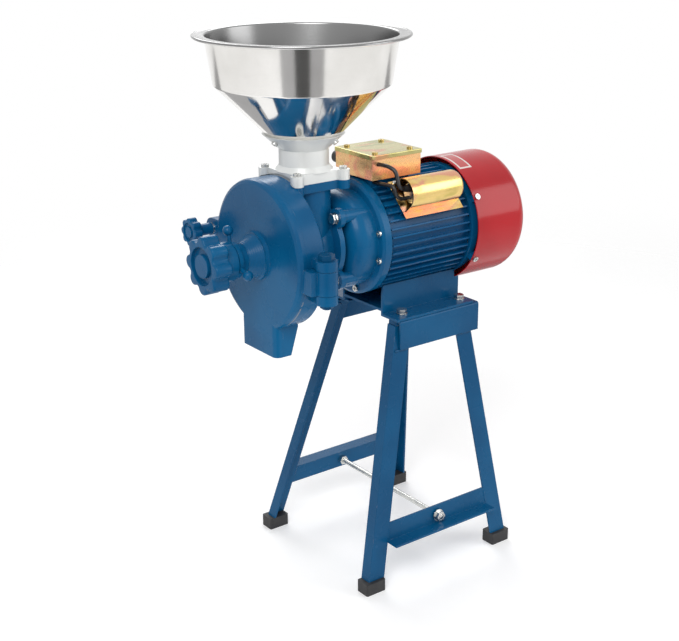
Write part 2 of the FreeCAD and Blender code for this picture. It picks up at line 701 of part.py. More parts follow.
shield_turns = (15.0, 75.0, 165.0, 195.0, 255.0, 345.0)
shield_ring = SHIELD_R - 8.0
front_shield = front_shield.cut(group(ring_holes(SHIELD_X - 1, FRAME_X0 + 1, SHIELD_SCREW_R,
                                                 shield_ring, shield_turns)))
save(front_shield, "front_shield")
rear_shield = make_shield(FRAME_X1, 1)
rear_shield = rear_shield.cut(group(ring_holes(FRAME_X1 - 1, REAR_SHIELD_X1 + 1, SHIELD_SCREW_R,
                                               shield_ring, shield_turns)))
shield_screws = []
for turn in shield_turns:
    y, z = on_ring(shield_ring, turn)
    shield_screws.append(pan_screw((SHIELD_X, y, z), (-1, 0, 0), SHIELD_SCREW_HEAD_R, SHIELD_SCREW_HEAD,
                                   SHIELD_SCREW_R, SHIELD_DEEP - 0.5))
    shield_screws.append(pan_screw((REAR_SHIELD_X1, y, z), (1, 0, 0), SHIELD_SCREW_HEAD_R,
                                   SHIELD_SCREW_HEAD, SHIELD_SCREW_R, SHIELD_DEEP - 0.5))
save(group(shield_screws), "shield_screws")

bearings = []
for x0 in (SHIELD_X - SHIELD_BOSS_PROUD + 3, REAR_SHIELD_X1 + SHIELD_BOSS_PROUD - 3 - BEARING_LONG):
    bearings.append(tube_x(x0, x0 + BEARING_LONG, BEARING_R, SHAFT_R + RUN_FIT))
save(group(bearings), "bearings")
save(tube_x(STATOR_X0, STATOR_X1, BORE_FIT_R, STATOR_BORE_R), "stator_core")
coils = []
for x0 in (STATOR_X0 - WINDING_LONG, STATOR_X1):
    ring = tube_x(x0, x0 + WINDING_LONG, STATOR_BORE_R + 4 + WINDING_WALL, STATOR_BORE_R + 4)
    coils.append(ring.makeFillet(WINDING_WALL * 0.2, ring.Edges))
save(group(coils), "stator_windings")
save(rod_x(SHAFT_X0, SHAFT_X1, SHAFT_R), "motor_shaft")
save(tube_x(STATOR_X0, STATOR_X1, ROTOR_R, SHAFT_R), "rotor_core")

blade_root = SHAFT_R + 8.0
blades = []
for k in range(FAN_BLADES):
    blade = block(FAN_X0, FAN_X0 + FAN_LONG, blade_root - 2, FAN_R, AXIS_Z - 1.2, AXIS_Z + 1.2)
    blade.rotate(V(0, 0, AXIS_Z), V(1, 0, 0), 360.0 * k / FAN_BLADES)
    blades.append(blade)
fan_disc = rod_x(FAN_X0, FAN_X0 + 2.5, FAN_R - 6)
fan = rod_x(FAN_X0, FAN_X0 + FAN_LONG, blade_root).fuse(blades + [fan_disc]).removeSplitter()
save(fan.cut(rod_x(FAN_X0 - 1, FAN_X0 + FAN_LONG + 1, SHAFT_R)), "cooling_fan")

cover_can = rod_x(FAN_COVER_X0, FAN_COVER_X1, FAN_COVER_R)
cover_can = cover_can.makeFillet(FAN_COVER_ROUND,
                                 [e for e in cover_can.Edges if e.CenterOfMass.x > FAN_COVER_X1 - 1])
hollow = rod_x(FAN_COVER_X0 - 1, FAN_COVER_X1 - FAN_COVER_WALL, FAN_COVER_R - FAN_COVER_WALL)
hollow = hollow.makeFillet(FAN_COVER_ROUND - FAN_COVER_WALL,
                           [e for e in hollow.Edges if e.CenterOfMass.x > FAN_COVER_X1 - FAN_COVER_WALL - 1])
fan_cover = cover_can.cut(hollow)
vents = []
for k in range(VENT_COUNT):
    slot = block(FAN_COVER_X1 - 3, FAN_COVER_X1 + 1, VENT_IN_R, VENT_OUT_R,
                 AXIS_Z - VENT_WIDE / 2, AXIS_Z + VENT_WIDE / 2)
    slot = slot.makeFillet(VENT_WIDE * 0.45, [e for e in slot.Edges if abs(e.tangentAt(0).x) > 0.9])
    slot.rotate(V(0, 0, AXIS_Z), V(1, 0, 0), 360.0 * k / VENT_COUNT)
    vents.append(slot)
fan_cover = fan_cover.cut(group(vents))
cover_turns = (30.0, 150.0, 210.0, 330.0)
lug_x = FAN_COVER_X0 + 6.0
lugs = []
cover_screws = []
for turn in cover_turns:
    lug = block(lug_x - FAN_LUG_HALF, lug_x + FAN_LUG_HALF, SHIELD_R - 3,
                FAN_COVER_R - FAN_COVER_WALL - SEAT_GAP,
                AXIS_Z - FAN_LUG_HALF, AXIS_Z + FAN_LUG_HALF)
    lug.rotate(V(0, 0, AXIS_Z), V(1, 0, 0), turn)
    lugs.append(lug)
    y, z = on_ring(FAN_COVER_R, turn)
    out_y, out_z = on_ring(1.0, turn)
    screw = pan_screw((lug_x, y, z), (0, out_y, out_z - AXIS_Z), FAN_SCREW_HEAD_R, FAN_SCREW_HEAD,
                      FAN_SCREW_R, FAN_SCREW_LONG)
    cover_screws.append(screw)
    hole = rod((lug_x, y * 0.8, AXIS_Z + (z - AXIS_Z) * 0.8), (0, out_y, out_z - AXIS_Z), FAN_COVER_R * 0.3,
               FAN_SCREW_R)
    fan_cover = fan_cover.cut(hole)
save(fan_cover, "fan_cover")
save(group(cover_screws), "fan_cover_screws")
rear_shield = rear_shield.fuse(lugs).removeSplitter()
save(rear_shield.cut(group(cover_screws)), "rear_shield")

# Terminal box, its lid, gland and switch

half = BOX_WIDE / 2.0
box_shell = block(BOX_X0, BOX_X1, -half, half, BOX_BOTTOM_Z, BOX_TOP_Z - BOX_WALL)
box_shell = box_shell.cut(block(BOX_X0 + BOX_WALL, BOX_X1 - BOX_WALL, -half + BOX_WALL, half - BOX_WALL,
                                BOX_BOTTOM_Z + BOX_WALL, BOX_TOP_Z))
gland_z = BOX_BOTTOM_Z + BOX_HIGH * 0.48
switch_z = BOX_BOTTOM_Z + BOX_HIGH * 0.48
lead_exit = (BOX_X0 + 6.0, -half, BOX_TOP_Z - 13.0)
box_shell = box_shell.cut(rod((GLAND_X, half - 3, gland_z), (0, 1, 0), 6, GLAND_R * 0.75))
box_shell = box_shell.cut(block(SWITCH_X - SWITCH_LONG / 2 + 1, SWITCH_X + SWITCH_LONG / 2 - 1,
                                half - 3, half + 1,
                                switch_z - SWITCH_HIGH / 2 + 1, switch_z + SWITCH_HIGH / 2 - 1))
box_shell = box_shell.cut(rod((lead_exit[0] + 4, lead_exit[1] - 1, lead_exit[2]), (0, 1, 0), 4,
                              LEAD_R + 0.2))
save(box_shell, "terminal_box")
lid = block(BOX_X0 - BOX_WALL, BOX_X1 + BOX_WALL, -half - BOX_WALL, half + BOX_WALL,
            BOX_TOP_Z - LID_LIP, BOX_TOP_Z)
lid = lid.makeFillet(1.2, [e for e in lid.Edges if e.CenterOfMass.z > BOX_TOP_Z - LID_LIP + 0.5])
lid = lid.cut(block(BOX_X0, BOX_X1, -half, half, BOX_TOP_Z - LID_LIP - 1, BOX_TOP_Z - BOX_WALL))
lid_screw_places = [(x, y) for x in (BOX_X0 + LID_SCREW_IN_X, BOX_X1 - LID_SCREW_IN_X)
                    for y in (LID_SCREW_IN_Y - half, half - LID_SCREW_IN_Y)]
lid_screws = []
for x, y in lid_screw_places:
    lid = lid.cut(rod((x, y, BOX_TOP_Z - 2 * BOX_WALL), (0, 0, 1), 3 * BOX_WALL, LID_SCREW_R))
    lid_screws.append(pan_screw((x, y, BOX_TOP_Z), (0, 0, 1), LID_SCREW_HEAD_R, LID_SCREW_HEAD, LID_SCREW_R,
                                LID_SCREW_LONG))
save(lid, "terminal_box_lid")
save(group(lid_screws), "lid_screws")

gland = rod((GLAND_X, half, gland_z), (0, 1, 0), 4.0, GLAND_R * 1.25)
gland = gland.fuse([rod((GLAND_X, half + 4, gland_z), (0, 1, 0), GLAND_LONG - 4, GLAND_R),
                    rod((GLAND_X, half - 2.5, gland_z), (0, 1, 0), 3.0, GLAND_R * 0.75)]).removeSplitter()
save(gland.cut(rod((GLAND_X, half - 4, gland_z), (0, 1, 0), GLAND_LONG + 6, GLAND_CABLE_R)), "cable_gland")
housing = block(SWITCH_X - SWITCH_LONG / 2 - 2, SWITCH_X + SWITCH_LONG / 2 + 2, half, half + SWITCH_FLANGE,
                switch_z - SWITCH_HIGH / 2 - 2, switch_z + SWITCH_HIGH / 2 + 2)
housing = housing.fuse(block(SWITCH_X - SWITCH_LONG / 2 + 1, SWITCH_X + SWITCH_LONG / 2 - 1,
                             half - SWITCH_DEEP, half,
                             switch_z - SWITCH_HIGH / 2 + 1, switch_z + SWITCH_HIGH / 2 - 1)).removeSplitter()
rocker_half = SWITCH_LONG / 2 - 3.5
rocker_tall = SWITCH_HIGH / 2 - 3.5
well_clear = 0.8
housing = housing.cut(block(SWITCH_X - rocker_half - well_clear, SWITCH_X + rocker_half + well_clear,
                            half - 10,
                            half + SWITCH_FLANGE + 1, switch_z - rocker_tall - 0.6, switch_z + rocker_tall + 0.6))
rocker_pivot_y = half - ROCKER_PIVOT_IN
pin_span_z = 2 * (rocker_tall + ROCKER_PIN_PROUD)
rocker_pin = rod((SWITCH_X, rocker_pivot_y, switch_z - pin_span_z / 2), (0, 0, 1), pin_span_z, ROCKER_PIN_R)
housing = housing.cut(rod((SWITCH_X, rocker_pivot_y, switch_z - pin_span_z / 2 - SEAT_GAP), (0, 0, 1),
                          pin_span_z + 2 * SEAT_GAP, ROCKER_PIN_R + RUN_FIT))
save(housing, "switch_housing")
turn = math.tan(math.radians(ROCKER_TILT))
rocker_top = half + SWITCH_FLANGE + 0.6
rocker = prism([(SWITCH_X - rocker_half, rocker_pivot_y - 1, switch_z - rocker_tall),
                (SWITCH_X, rocker_pivot_y - 4, switch_z - rocker_tall),
                (SWITCH_X + rocker_half, rocker_pivot_y - 1, switch_z - rocker_tall),
                (SWITCH_X + rocker_half, rocker_top, switch_z - rocker_tall),
                (SWITCH_X, rocker_top - rocker_half * turn * 0.6, switch_z - rocker_tall),
                (SWITCH_X - rocker_half, rocker_top, switch_z - rocker_tall)], (0, 0, 2 * rocker_tall))
rocker.rotate(V(SWITCH_X, rocker_pivot_y, switch_z), V(0, 0, 1), -ROCKER_TILT)
save(rocker.fuse(rocker_pin).removeSplitter(), "switch_rocker")

# Run capacitor in its leaning cover

cap_axis_out = cap_base_out + CAP_COVER_RISE
can_x0 = CAP_X0 + CAP_CAN_INSET
can_start = cap_point(can_x0, cap_axis_out, 0)
can = Part.makeCylinder(CAP_CAN_R, CAP_CAN_LONG, can_start, V(1, 0, 0))
can = can.makeFillet(2.0, can.Edges[:1] + can.Edges[2:3])
save(can, "capacitor")


def cap_arch(x0, x1, radius):
    """A half-round arch with straight skirts down to the base."""
    bar = Part.makeCylinder(radius, x1 - x0, cap_point(x0, cap_axis_out, 0), V(1, 0, 0))
    return bar.fuse(cap_block(x0, x1, cap_base_out, cap_axis_out, -radius, radius)).removeSplitter()


arch = cap_arch(CAP_X0 + 2, cap_x1 - 8, CAP_COVER_R)
end_edges = [e for e in arch.Edges if e.CenterOfMass.x > cap_x1 - 8.5
             and (e.CenterOfMass - V(e.CenterOfMass.x, 0, AXIS_Z)).dot(cap_dir) > cap_base_out + 3]
arch = arch.makeFillet(8.0, end_edges)
arch_hollow = cap_arch(CAP_X0 + 1, cap_x1 - 8 - CAP_BASE_WALL, CAP_COVER_R - CAP_BASE_WALL)
cap_base = cap_block(CAP_X0, cap_x1, cap_base_out, cap_base_out + CAP_BASE_WALL, -CAP_BASE_WIDE / 2,
                     CAP_BASE_WIDE / 2)
below = cap_block(CAP_X0 - 5, cap_x1 + 5, cap_base_out - CAP_BASE_WIDE / 2, cap_base_out,
                  -CAP_BASE_WIDE, CAP_BASE_WIDE)
cap_cover = arch.cut(arch_hollow.cut(cap_block(CAP_X0 - 1, cap_x1, cap_base_out - 1,
                                               cap_base_out + CAP_BASE_WALL,
                                               -CAP_COVER_R, CAP_COVER_R))).cut(below).fuse(cap_base)
cap_cover = cap_cover.removeSplitter()
cap_screws = []
for x in (CAP_X0 + CAP_SCREW_INSET, cap_x1 - CAP_SCREW_INSET):
    across = -CAP_BASE_WIDE * 0.5 + 4.0
    seat = cap_point(x, cap_base_out + CAP_BASE_WALL, across)
    cap_screws.append(pan_screw(seat, cap_dir, CAP_SCREW_HEAD_R, CAP_SCREW_HEAD, CAP_SCREW_R,
                                CAP_SCREW_LONG))
    cap_cover = cap_cover.cut(Part.makeCylinder(CAP_SCREW_R, 8, seat - cap_dir * 4, cap_dir))
save(cap_cover, "capacitor_cover")
tabs = [cap_block(x - 4, x + 4, FRAME_CORE_R - 3, cap_base_out, -CAP_BASE_WIDE / 2, -CAP_BASE_WIDE * 0.25)
        for x in (CAP_X0 + CAP_SCREW_INSET, cap_x1 - CAP_SCREW_INSET)]
frame = frame.fuse(tabs).removeSplitter().cut(group(cap_screws)).cut(rod_x(FRAME_X0 - 1, FRAME_X1 + 1,
                                                                           BORE_FIT_R))
save(frame, "motor_frame")
save(group(cap_screws), "capacitor_cover_screws")


def lead_along(points, radius):
    """A round lead of straight runs joined by tangent arcs; prints its bend radii."""
    places = [V(*p) for p in points]
    edges = []
    start = places[0]
    bends = []
    for before, here, after in zip(places, places[1:], places[2:]):
        arrive = here - before
        leave = after - here
        shorter = min(arrive.Length, leave.Length)
        arrive_dir = V(arrive)
        leave_dir = V(leave)
        arrive_dir.normalize()
        leave_dir.normalize()
        turn = arrive_dir.getAngle(leave_dir)
        cut = 0.45 * shorter
        bends.append(cut / math.tan(turn / 2.0))
        into = here - arrive_dir * cut
        out = here + leave_dir * cut
        middle_dir = leave_dir - arrive_dir
        middle_dir.normalize()
        middle = here + middle_dir * (bends[-1] * (1.0 / math.cos(turn / 2.0) - 1.0))
        edges = edges + [Part.LineSegment(start, into).toShape(), Part.Arc(into, middle, out).toShape()]
        start = out
    edges.append(Part.LineSegment(start, places[-1]).toShape())
    path = Part.Wire(edges)
    first = places[1] - places[0]
    section = Part.Wire(Part.makeCircle(radius, places[0], first))
    lead = path.makePipeShell([section], True, False)
    expected = math.pi * radius ** 2 * path.Length
    print("lead", round(path.Length, 1), "long, least bend", round(min(bends), 1),
          "volume share", round(lead.Volume / expected, 4))
    return lead


mouth = cap_point(can_x0, cap_axis_out, 0)
boot_top = cap_point(can_x0 - 6.0, cap_axis_out + 7.0, -4.0)
lead_start = (lead_exit[0] + 4, lead_exit[1] + 4.0, lead_exit[2])
box_lead = lead_along([lead_start, (lead_start[0] + 1, lead_start[1] - LEAD_REACH, lead_start[2] + 1),
                       (lead_start[0] + 6, boot_top.y + 4, lead_start[2] - 4),
                       (lead_start[0] + 8, boot_top.y - 2, boot_top.z + 3),
                       (can_x0 - 10, boot_top.y, boot_top.z), (can_x0, boot_top.y, boot_top.z)], LEAD_R)
save(box_lead, "box_lead")
loop_end = cap_point(can_x0, cap_axis_out - 6.0, 4.0)
loop_seat = V(pad_x0 + 6.0, -pad_half, BOX_BOTTOM_Z - 5.0)
motor_lead = lead_along([tuple(loop_end), (loop_end.x - LEAD_RUN, loop_end.y, loop_end.z),
                         (loop_end.x - LEAD_LOOP, loop_end.y - 2, loop_end.z + 7),
                         (loop_seat.x, loop_end.y - 2, loop_seat.z + 2),
                         (loop_seat.x, loop_seat.y - LEAD_RUN - 1, loop_seat.z), tuple(loop_seat)], LEAD_R)
save(motor_lead, "motor_lead")
boot_start = V(can_x0 - 13, boot_top.y, boot_top.z)
lead_boot = Part.makeCone(LEAD_R + 1.2, LEAD_R + 3.4, 13, boot_start, V(1, 0, 0))
save(lead_boot.cut(box_lead), "lead_boot")

# Grinder body: chamber ring, back wall, feed barrel, rear flange, feed plate, hinge and clamp ears

ring_x1 = SEAM_X + BODY_RING_LONG
bore_r = AUGER_TAIL_R + 2.0
seal_x0 = BODY_REAR_X - SEAL_LONG
body = turned_x([(SEAM_X, CHAMBER_R), (SEAM_X, COVER_R), (ring_x1, COVER_R), (ring_x1 + 3, COVER_R - 5),
                 (BODY_BACK_X + 4, COVER_R - 18), (BODY_BACK_X + 10, BARREL_R + 8), (BODY_BACK_X + 16,
                                                                                     BARREL_R),
                 (REAR_WALL_X, BARREL_R), (REAR_WALL_X, REAR_FLANGE_R), (BODY_REAR_X, REAR_FLANGE_R),
                 (BODY_REAR_X, SEAL_R), (seal_x0, SEAL_R), (seal_x0, bore_r), (REAR_WALL_X - 4, bore_r),
                 (REAR_WALL_X - 4, BARREL_BORE_R), (CHAMBER_BACK_X, BARREL_BORE_R), (CHAMBER_BACK_X,
                                                                                     CHAMBER_R)])


def corner_plate(z0, z1):
    """The feed flange's outline: a waisted square with a round boss at each corner."""
    plate = block(FEED_X - FEED_BOLT_HALF, FEED_X + FEED_BOLT_HALF, -FEED_BOLT_HALF, FEED_BOLT_HALF, z0, z1)
    plate = plate.fuse([rod((FEED_X + a * FEED_BOLT_HALF, b * FEED_BOLT_HALF, z0), (0, 0, 1), z1 - z0,
                            FEED_CORNER_R)
                        for a in (-1, 1) for b in (-1, 1)])
    return plate.removeSplitter()


throat = rod((FEED_X, 0, AXIS_Z), (0, 0, 1), FEED_PLATE_Z - AXIS_Z, THROAT_R)
throat = throat.cut(block(BODY_REAR_X, FEED_X + THROAT_R + 1, -THROAT_R, THROAT_R, AXIS_Z - 1,
                          FEED_PLATE_Z + 1))
feed_plate = corner_plate(FEED_PLATE_Z, FEED_PLATE_TOP_Z)
rear_bottom_x = SEAM_X + SPOUT_MOUTH_DEEP
rear_top_z = AXIS_Z - COVER_R + 6.0


def spout_prism(inset, top_z, bottom_z):
    """The rear half of the spout, or its hollow when inset by the wall."""
    half_wide = SPOUT_HALF_WIDE - inset
    points = [(SEAM_X, -half_wide, bottom_z), (rear_bottom_x - inset, -half_wide, bottom_z),
              (ring_x1 - 2 - inset, -half_wide, rear_top_z), (ring_x1 - 2 - inset, -half_wide, top_z),
              (SEAM_X, -half_wide, top_z)]
    return prism(points, (0, 2 * half_wide, 0))


chamber_hollow = rod_x(SEAM_X, CHAMBER_BACK_X, CHAMBER_R)
spout_rear = spout_prism(0.0, AXIS_Z - CHAMBER_R * 0.8, SPOUT_BOTTOM_Z).cut(chamber_hollow)
knuckle_mid0 = HINGE_Z - KNUCKLE_MID_LONG / 2
knuckle_mid1 = HINGE_Z + KNUCKLE_MID_LONG / 2
hinge_parts = []
for z0 in (knuckle_mid0 - FACE_GAP - KNUCKLE_END_LONG, knuckle_mid1 + FACE_GAP):
    knuckle = rod((HINGE_X, HINGE_Y, z0), (0, 0, 1), KNUCKLE_END_LONG, KNUCKLE_R)
    arm = block(HINGE_X - 10, ring_x1, HINGE_Y, -COVER_R + 10, z0, z0 + KNUCKLE_END_LONG)
    hinge_parts = hinge_parts + [knuckle, arm.cut(rod_x(SEAM_X - 1, ring_x1 + 1, CHAMBER_R + WEB_BITE))]
clamp_ear = rod_x(SEAM_X, SEAM_X + CLAMP_BODY_EAR, CLAMP_EAR_R, CLAMP_Y, CLAMP_Z)
clamp_web = block(SEAM_X, SEAM_X + CLAMP_BODY_EAR, COVER_R - 12, CLAMP_Y, CLAMP_Z - CLAMP_EAR_R,
                  CLAMP_Z + CLAMP_EAR_R)
clamp_web = clamp_web.cut(rod_x(SEAM_X - 1, ring_x1 + 1, CHAMBER_R + WEB_BITE))
post_ears = ring_holes(REAR_WALL_X, BODY_REAR_X, POST_EAR_R, POST_RING_R, post_turns)
body = body.fuse([throat.cut(chamber_hollow), feed_plate.cut(chamber_hollow), spout_rear, clamp_ear,
                  clamp_web]
                 + hinge_parts + post_ears).removeSplitter()
body = body.cut(spout_prism(SPOUT_WALL, AXIS_Z - CHAMBER_R * 0.8, SPOUT_BOTTOM_Z - 1))
body = body.cut(rod((FEED_X, 0, AXIS_Z), (0, 0, 1), FEED_PLATE_TOP_Z - AXIS_Z + 1, THROAT_BORE_R))
mouth_cone = Part.makeCone(THROAT_BORE_R, NECK_BORE_R, FEED_PLATE_WALL, V(FEED_X, 0, FEED_PLATE_Z), V(0,
                                                                                                      0, 1))
body = body.cut(mouth_cone)
body = body.cut(rod_x(CHAMBER_BACK_X - 1, REAR_WALL_X - 4, BARREL_BORE_R))
body = body.cut(rod_x(SEAM_X - 1, SEAM_X + CLAMP_ENGAGE + 4, CLAMP_STUD_R + LOOSE_GAP, CLAMP_Y, CLAMP_Z))
pin_span = KNUCKLE_MID_LONG + 2 * KNUCKLE_END_LONG + 2 * FACE_GAP
pin_z0 = knuckle_mid0 - FACE_GAP - KNUCKLE_END_LONG
body = body.cut(rod((HINGE_X, HINGE_Y, pin_z0 - 1), (0, 0, 1), pin_span + 2, HINGE_PIN_R))
body = body.cut(group(ring_holes(REAR_WALL_X - 1, BODY_REAR_X + 1, POST_BOLT_R, POST_RING_R, post_turns)))
feed_places = [(FEED_X + a * FEED_BOLT_HALF, b * FEED_BOLT_HALF) for a in (-1, 1) for b in (-1, 1)]
for x, y in feed_places:
    body = body.cut(rod((x, y, FEED_PLATE_Z + 1), (0, 0, 1), FEED_PLATE_WALL, NECK_SCREW_R))
disc_turns = (30.0, 150.0, 270.0)
disc_ring = DISC_R * 0.66
body = body.cut(group(ring_holes(CHAMBER_BACK_X - 1, BODY_BACK_X - 1, DISC_BOLT_R, disc_ring, disc_turns)))
body = body.cut(rod_x(REAR_WALL_X - 5, BODY_REAR_X + 1, bore_r))
body = body.cut(rod_x(seal_x0, BODY_REAR_X + 1, SEAL_R))
save(body, "grinder_body")

post_bolts = []
for turn in post_turns:
    y, z = on_ring(POST_RING_R, turn)
    shank = rod_x(REAR_WALL_X, SHIELD_X - 8, POST_BOLT_R, y, z)
    washer = rod_x(REAR_WALL_X - WASHER_WALL, REAR_WALL_X, POST_BOLT_R * 2.1, y, z)
    head = hexagon((REAR_WALL_X - WASHER_WALL, y, z), (-1, 0, 0), POST_BOLT_R * 3.25, BOLT_HEAD_LONG)
    post_bolts.append(shank.fuse([washer, head]).removeSplitter())
save(group(post_bolts), "post_bolts")

pin_head = hexagon((HINGE_X, HINGE_Y, pin_z0 + pin_span), (0, 0, 1), HINGE_PIN_R * 3.2, 8.0)
hinge_pin = rod((HINGE_X, HINGE_Y, pin_z0 - 7), (0, 0, 1), pin_span + 7,
                HINGE_PIN_R).fuse(pin_head).removeSplitter()
hinge_nut = hexagon((HINGE_X, HINGE_Y, pin_z0), (0, 0, -1), HINGE_PIN_R * 2.6, 5.5)
save(group([hinge_pin, hinge_nut.cut(hinge_pin)]), "hinge_pin")
seal = tube_x(seal_x0, BODY_REAR_X, SEAL_R, AUGER_TAIL_R + RUN_FIT)
save(seal, "shaft_seal")

# Front cover: a shallow dish with the adjusting boss, the front half of the spout, hinge knuckle and clamp ear

dish = turned_x([(SEAM_X, CHAMBER_R), (SEAM_X, COVER_R), (COVER_X + COVER_ROUND, COVER_R),
                 (COVER_X + COVER_ROUND * 0.3, COVER_R - COVER_ROUND * 0.3),
                 (COVER_X, COVER_R - COVER_ROUND), (COVER_X, BOSS_RING_R), (BOSS_RING_X, BOSS_RING_R - 1),
                 (BOSS_RING_X, BOSS_BASE_R), (BOSS_CONE_X, BOSS_TIP_R), (BOSS_CONE_X, BOSS_NECK_R),
                 (BOSS_TIP_X, BOSS_NECK_R), (BOSS_TIP_X, SCREW_R + RUN_FIT), (COVER_INNER_X,
                                                                              SCREW_R + RUN_FIT),
                 (COVER_INNER_X, CHAMBER_R)])
spout_top = AXIS_Z - COVER_R * 0.8
spout_box = block(COVER_X, SEAM_X, -SPOUT_HALF_WIDE, SPOUT_HALF_WIDE, SPOUT_BOTTOM_Z, spout_top)
spout_box = spout_box.makeFillet(SPOUT_CORNER_R, [e for e in spout_box.Edges if abs(e.tangentAt(0).z) > 0.9
                                                  and e.CenterOfMass.x < COVER_X + 1])
spout_box = spout_box.cut(rod_x(COVER_X - 1, SEAM_X + 1, COVER_R - COVER_ROUND - 4))
knuckle = rod((HINGE_X, HINGE_Y, knuckle_mid0), (0, 0, 1), KNUCKLE_MID_LONG, KNUCKLE_R)
arm_y1 = -COVER_R - 1.2
cover_arm = block(SEAM_X - 7, HINGE_X, HINGE_Y, arm_y1, knuckle_mid0, knuckle_mid1)
cover_tie = block(SEAM_X - 7, SEAM_X, HINGE_Y, -COVER_R + 12, knuckle_mid0, knuckle_mid1)
cover_tie = cover_tie.cut(rod_x(COVER_X - 1, SEAM_X + 1, CHAMBER_R + WEB_BITE))
cover_ear = rod_x(SEAM_X - CLAMP_EAR_WALL, SEAM_X, CLAMP_EAR_R, CLAMP_Y, CLAMP_Z)
ear_web = block(SEAM_X - CLAMP_EAR_WALL, SEAM_X, COVER_R - 12, CLAMP_Y, CLAMP_Z - CLAMP_EAR_R,
                CLAMP_Z + CLAMP_EAR_R)
ear_web = ear_web.cut(rod_x(COVER_X - 1, SEAM_X + 1, CHAMBER_R + WEB_BITE))
cover = dish.fuse([spout_box, knuckle, cover_arm, cover_tie, cover_ear, ear_web]).removeSplitter()
cover = cover.cut(block(COVER_X + SPOUT_WALL, SEAM_X + 1, -SPOUT_HALF_WIDE + SPOUT_WALL,
                        SPOUT_HALF_WIDE - SPOUT_WALL,
                        SPOUT_BOTTOM_Z - 1, AXIS_Z - CHAMBER_R * 0.8).cut(rod_x(COVER_X - 1, SEAM_X + 2,
                                                                                CHAMBER_R - 4)))
cover = cover.cut(rod((HINGE_X, HINGE_Y, pin_z0 - 1), (0, 0, 1), pin_span + 2, HINGE_PIN_R + RUN_FIT))
cover = cover.cut(rod_x(SEAM_X - CLAMP_EAR_WALL - 1, SEAM_X + 1, CLAMP_STUD_R + RUN_FIT, CLAMP_Y, CLAMP_Z))
save(cover, "front_cover")

# Grinding discs, carrier, auger, ball and spring


def furrows(x0, x1):
    """Radial cutters for the furrows in a disc's working face."""
    cutters = []
    for k in range(FURROW_COUNT):
        cutter = block(x0, x1, DISC_R * 0.45, DISC_R + 2, AXIS_Z, AXIS_Z + FURROW_WIDE)
        cutter.rotate(V(0, 0, AXIS_Z), V(1, 0, 0), 360.0 * k / FURROW_COUNT)
        cutters.append(cutter)
    return group(cutters)


fixed_disc = tube_x(FIXED_DISC_X, CHAMBER_BACK_X, DISC_R, BARREL_BORE_R)
fixed_disc = fixed_disc.cut(furrows(FIXED_DISC_X - 1, FIXED_DISC_X + FURROW_DEEP))
disc_bolts = []
for turn in disc_turns:
    y, z = on_ring(disc_ring, turn)
    hold = rod_x(FIXED_DISC_X + 2, BODY_BACK_X - 1, DISC_BOLT_R, y, z)
    sink = rod_x(FIXED_DISC_X + 2, FIXED_DISC_X + 6, DISC_BOLT_R * 1.9, y, z)
    disc_bolts.append(hold.fuse(sink).removeSplitter())
    fixed_disc = fixed_disc.cut(rod_x(FIXED_DISC_X - 1, FIXED_DISC_X + 6, DISC_BOLT_R * 1.9, y, z))
    fixed_disc = fixed_disc.cut(rod_x(FIXED_DISC_X + 5, CHAMBER_BACK_X + 1, DISC_BOLT_R, y, z))
save(fixed_disc, "fixed_disc")
save(group(disc_bolts), "disc_bolts")
turn_disc = tube_x(TURN_DISC_X, TURN_DISC_BACK_X, DISC_R, BARREL_BORE_R - 1)
turn_disc = turn_disc.cut(furrows(TURN_DISC_BACK_X - FURROW_DEEP, TURN_DISC_BACK_X + 1))
turn_disc = turn_disc.cut(group(ring_holes(TURN_DISC_X - 1, TURN_DISC_X + 7, DISC_BOLT_R, disc_ring,
                                           disc_turns)))
save(turn_disc, "rotating_disc")
carrier = rod_x(CARRIER_X, TURN_DISC_X, CARRIER_R).fuse(rod_x(CARRIER_X, TURN_DISC_X + 4, CARRIER_HUB_R))
carrier = carrier.removeSplitter().cut(rod_x(CARRIER_X - 1, TURN_DISC_X + 5, AUGER_SHAFT_R))
carrier_screws = []
for turn in disc_turns:
    y, z = on_ring(disc_ring, turn)
    carrier = carrier.cut(rod_x(CARRIER_X - 1, TURN_DISC_X + 1, DISC_BOLT_R, y, z))
    carrier_screws.append(pan_screw((CARRIER_X + DISC_SCREW_SINK, y, z), (-1, 0, 0), DISC_SCREW_HEAD_R,
                                    DISC_SCREW_HEAD,
                                    DISC_BOLT_R, DISC_SCREW_LONG))
    carrier = carrier.cut(rod_x(CARRIER_X - 1, CARRIER_X + DISC_SCREW_SINK,
                                DISC_SCREW_HEAD_R + SEAT_GAP, y, z))
save(group([carrier] + carrier_screws), "disc_carrier")

shaft = rod_x(AUGER_TIP_X, REAR_WALL_X - 4 - SEAT_GAP, AUGER_SHAFT_R)
tail = rod_x(REAR_WALL_X - 4 - SEAT_GAP, AUGER_END_X, AUGER_TAIL_R)
dogs = block(AUGER_END_X - DOG_INSET - DOG_LONG, AUGER_END_X - DOG_INSET, -DOG_REACH, DOG_REACH,
             AXIS_Z - DOG_HALF, AXIS_Z + DOG_HALF)
flight_x0 = TURN_DISC_X + FLIGHT_START_GAP
flight_long = REAR_WALL_X - FLIGHT_END_GAP - flight_x0
helix = Part.makeHelix(AUGER_PITCH, flight_long, (AUGER_FLIGHT_R + AUGER_SHAFT_R) / 2.0 - 1)
helix_x = AUGER_SHAFT_R - 1.5
flight_section = Part.makePolygon([V(helix_x, 0, -AUGER_FLIGHT_WALL / 2), V(AUGER_FLIGHT_R, 0,
                                                                            -AUGER_FLIGHT_WALL / 2),
                                   V(AUGER_FLIGHT_R, 0, AUGER_FLIGHT_WALL / 2), V(helix_x, 0,
                                                                                  AUGER_FLIGHT_WALL / 2),
                                   V(helix_x, 0, -AUGER_FLIGHT_WALL / 2)])
flight = Part.Wire(helix.Edges).makePipeShell([flight_section], True, True)
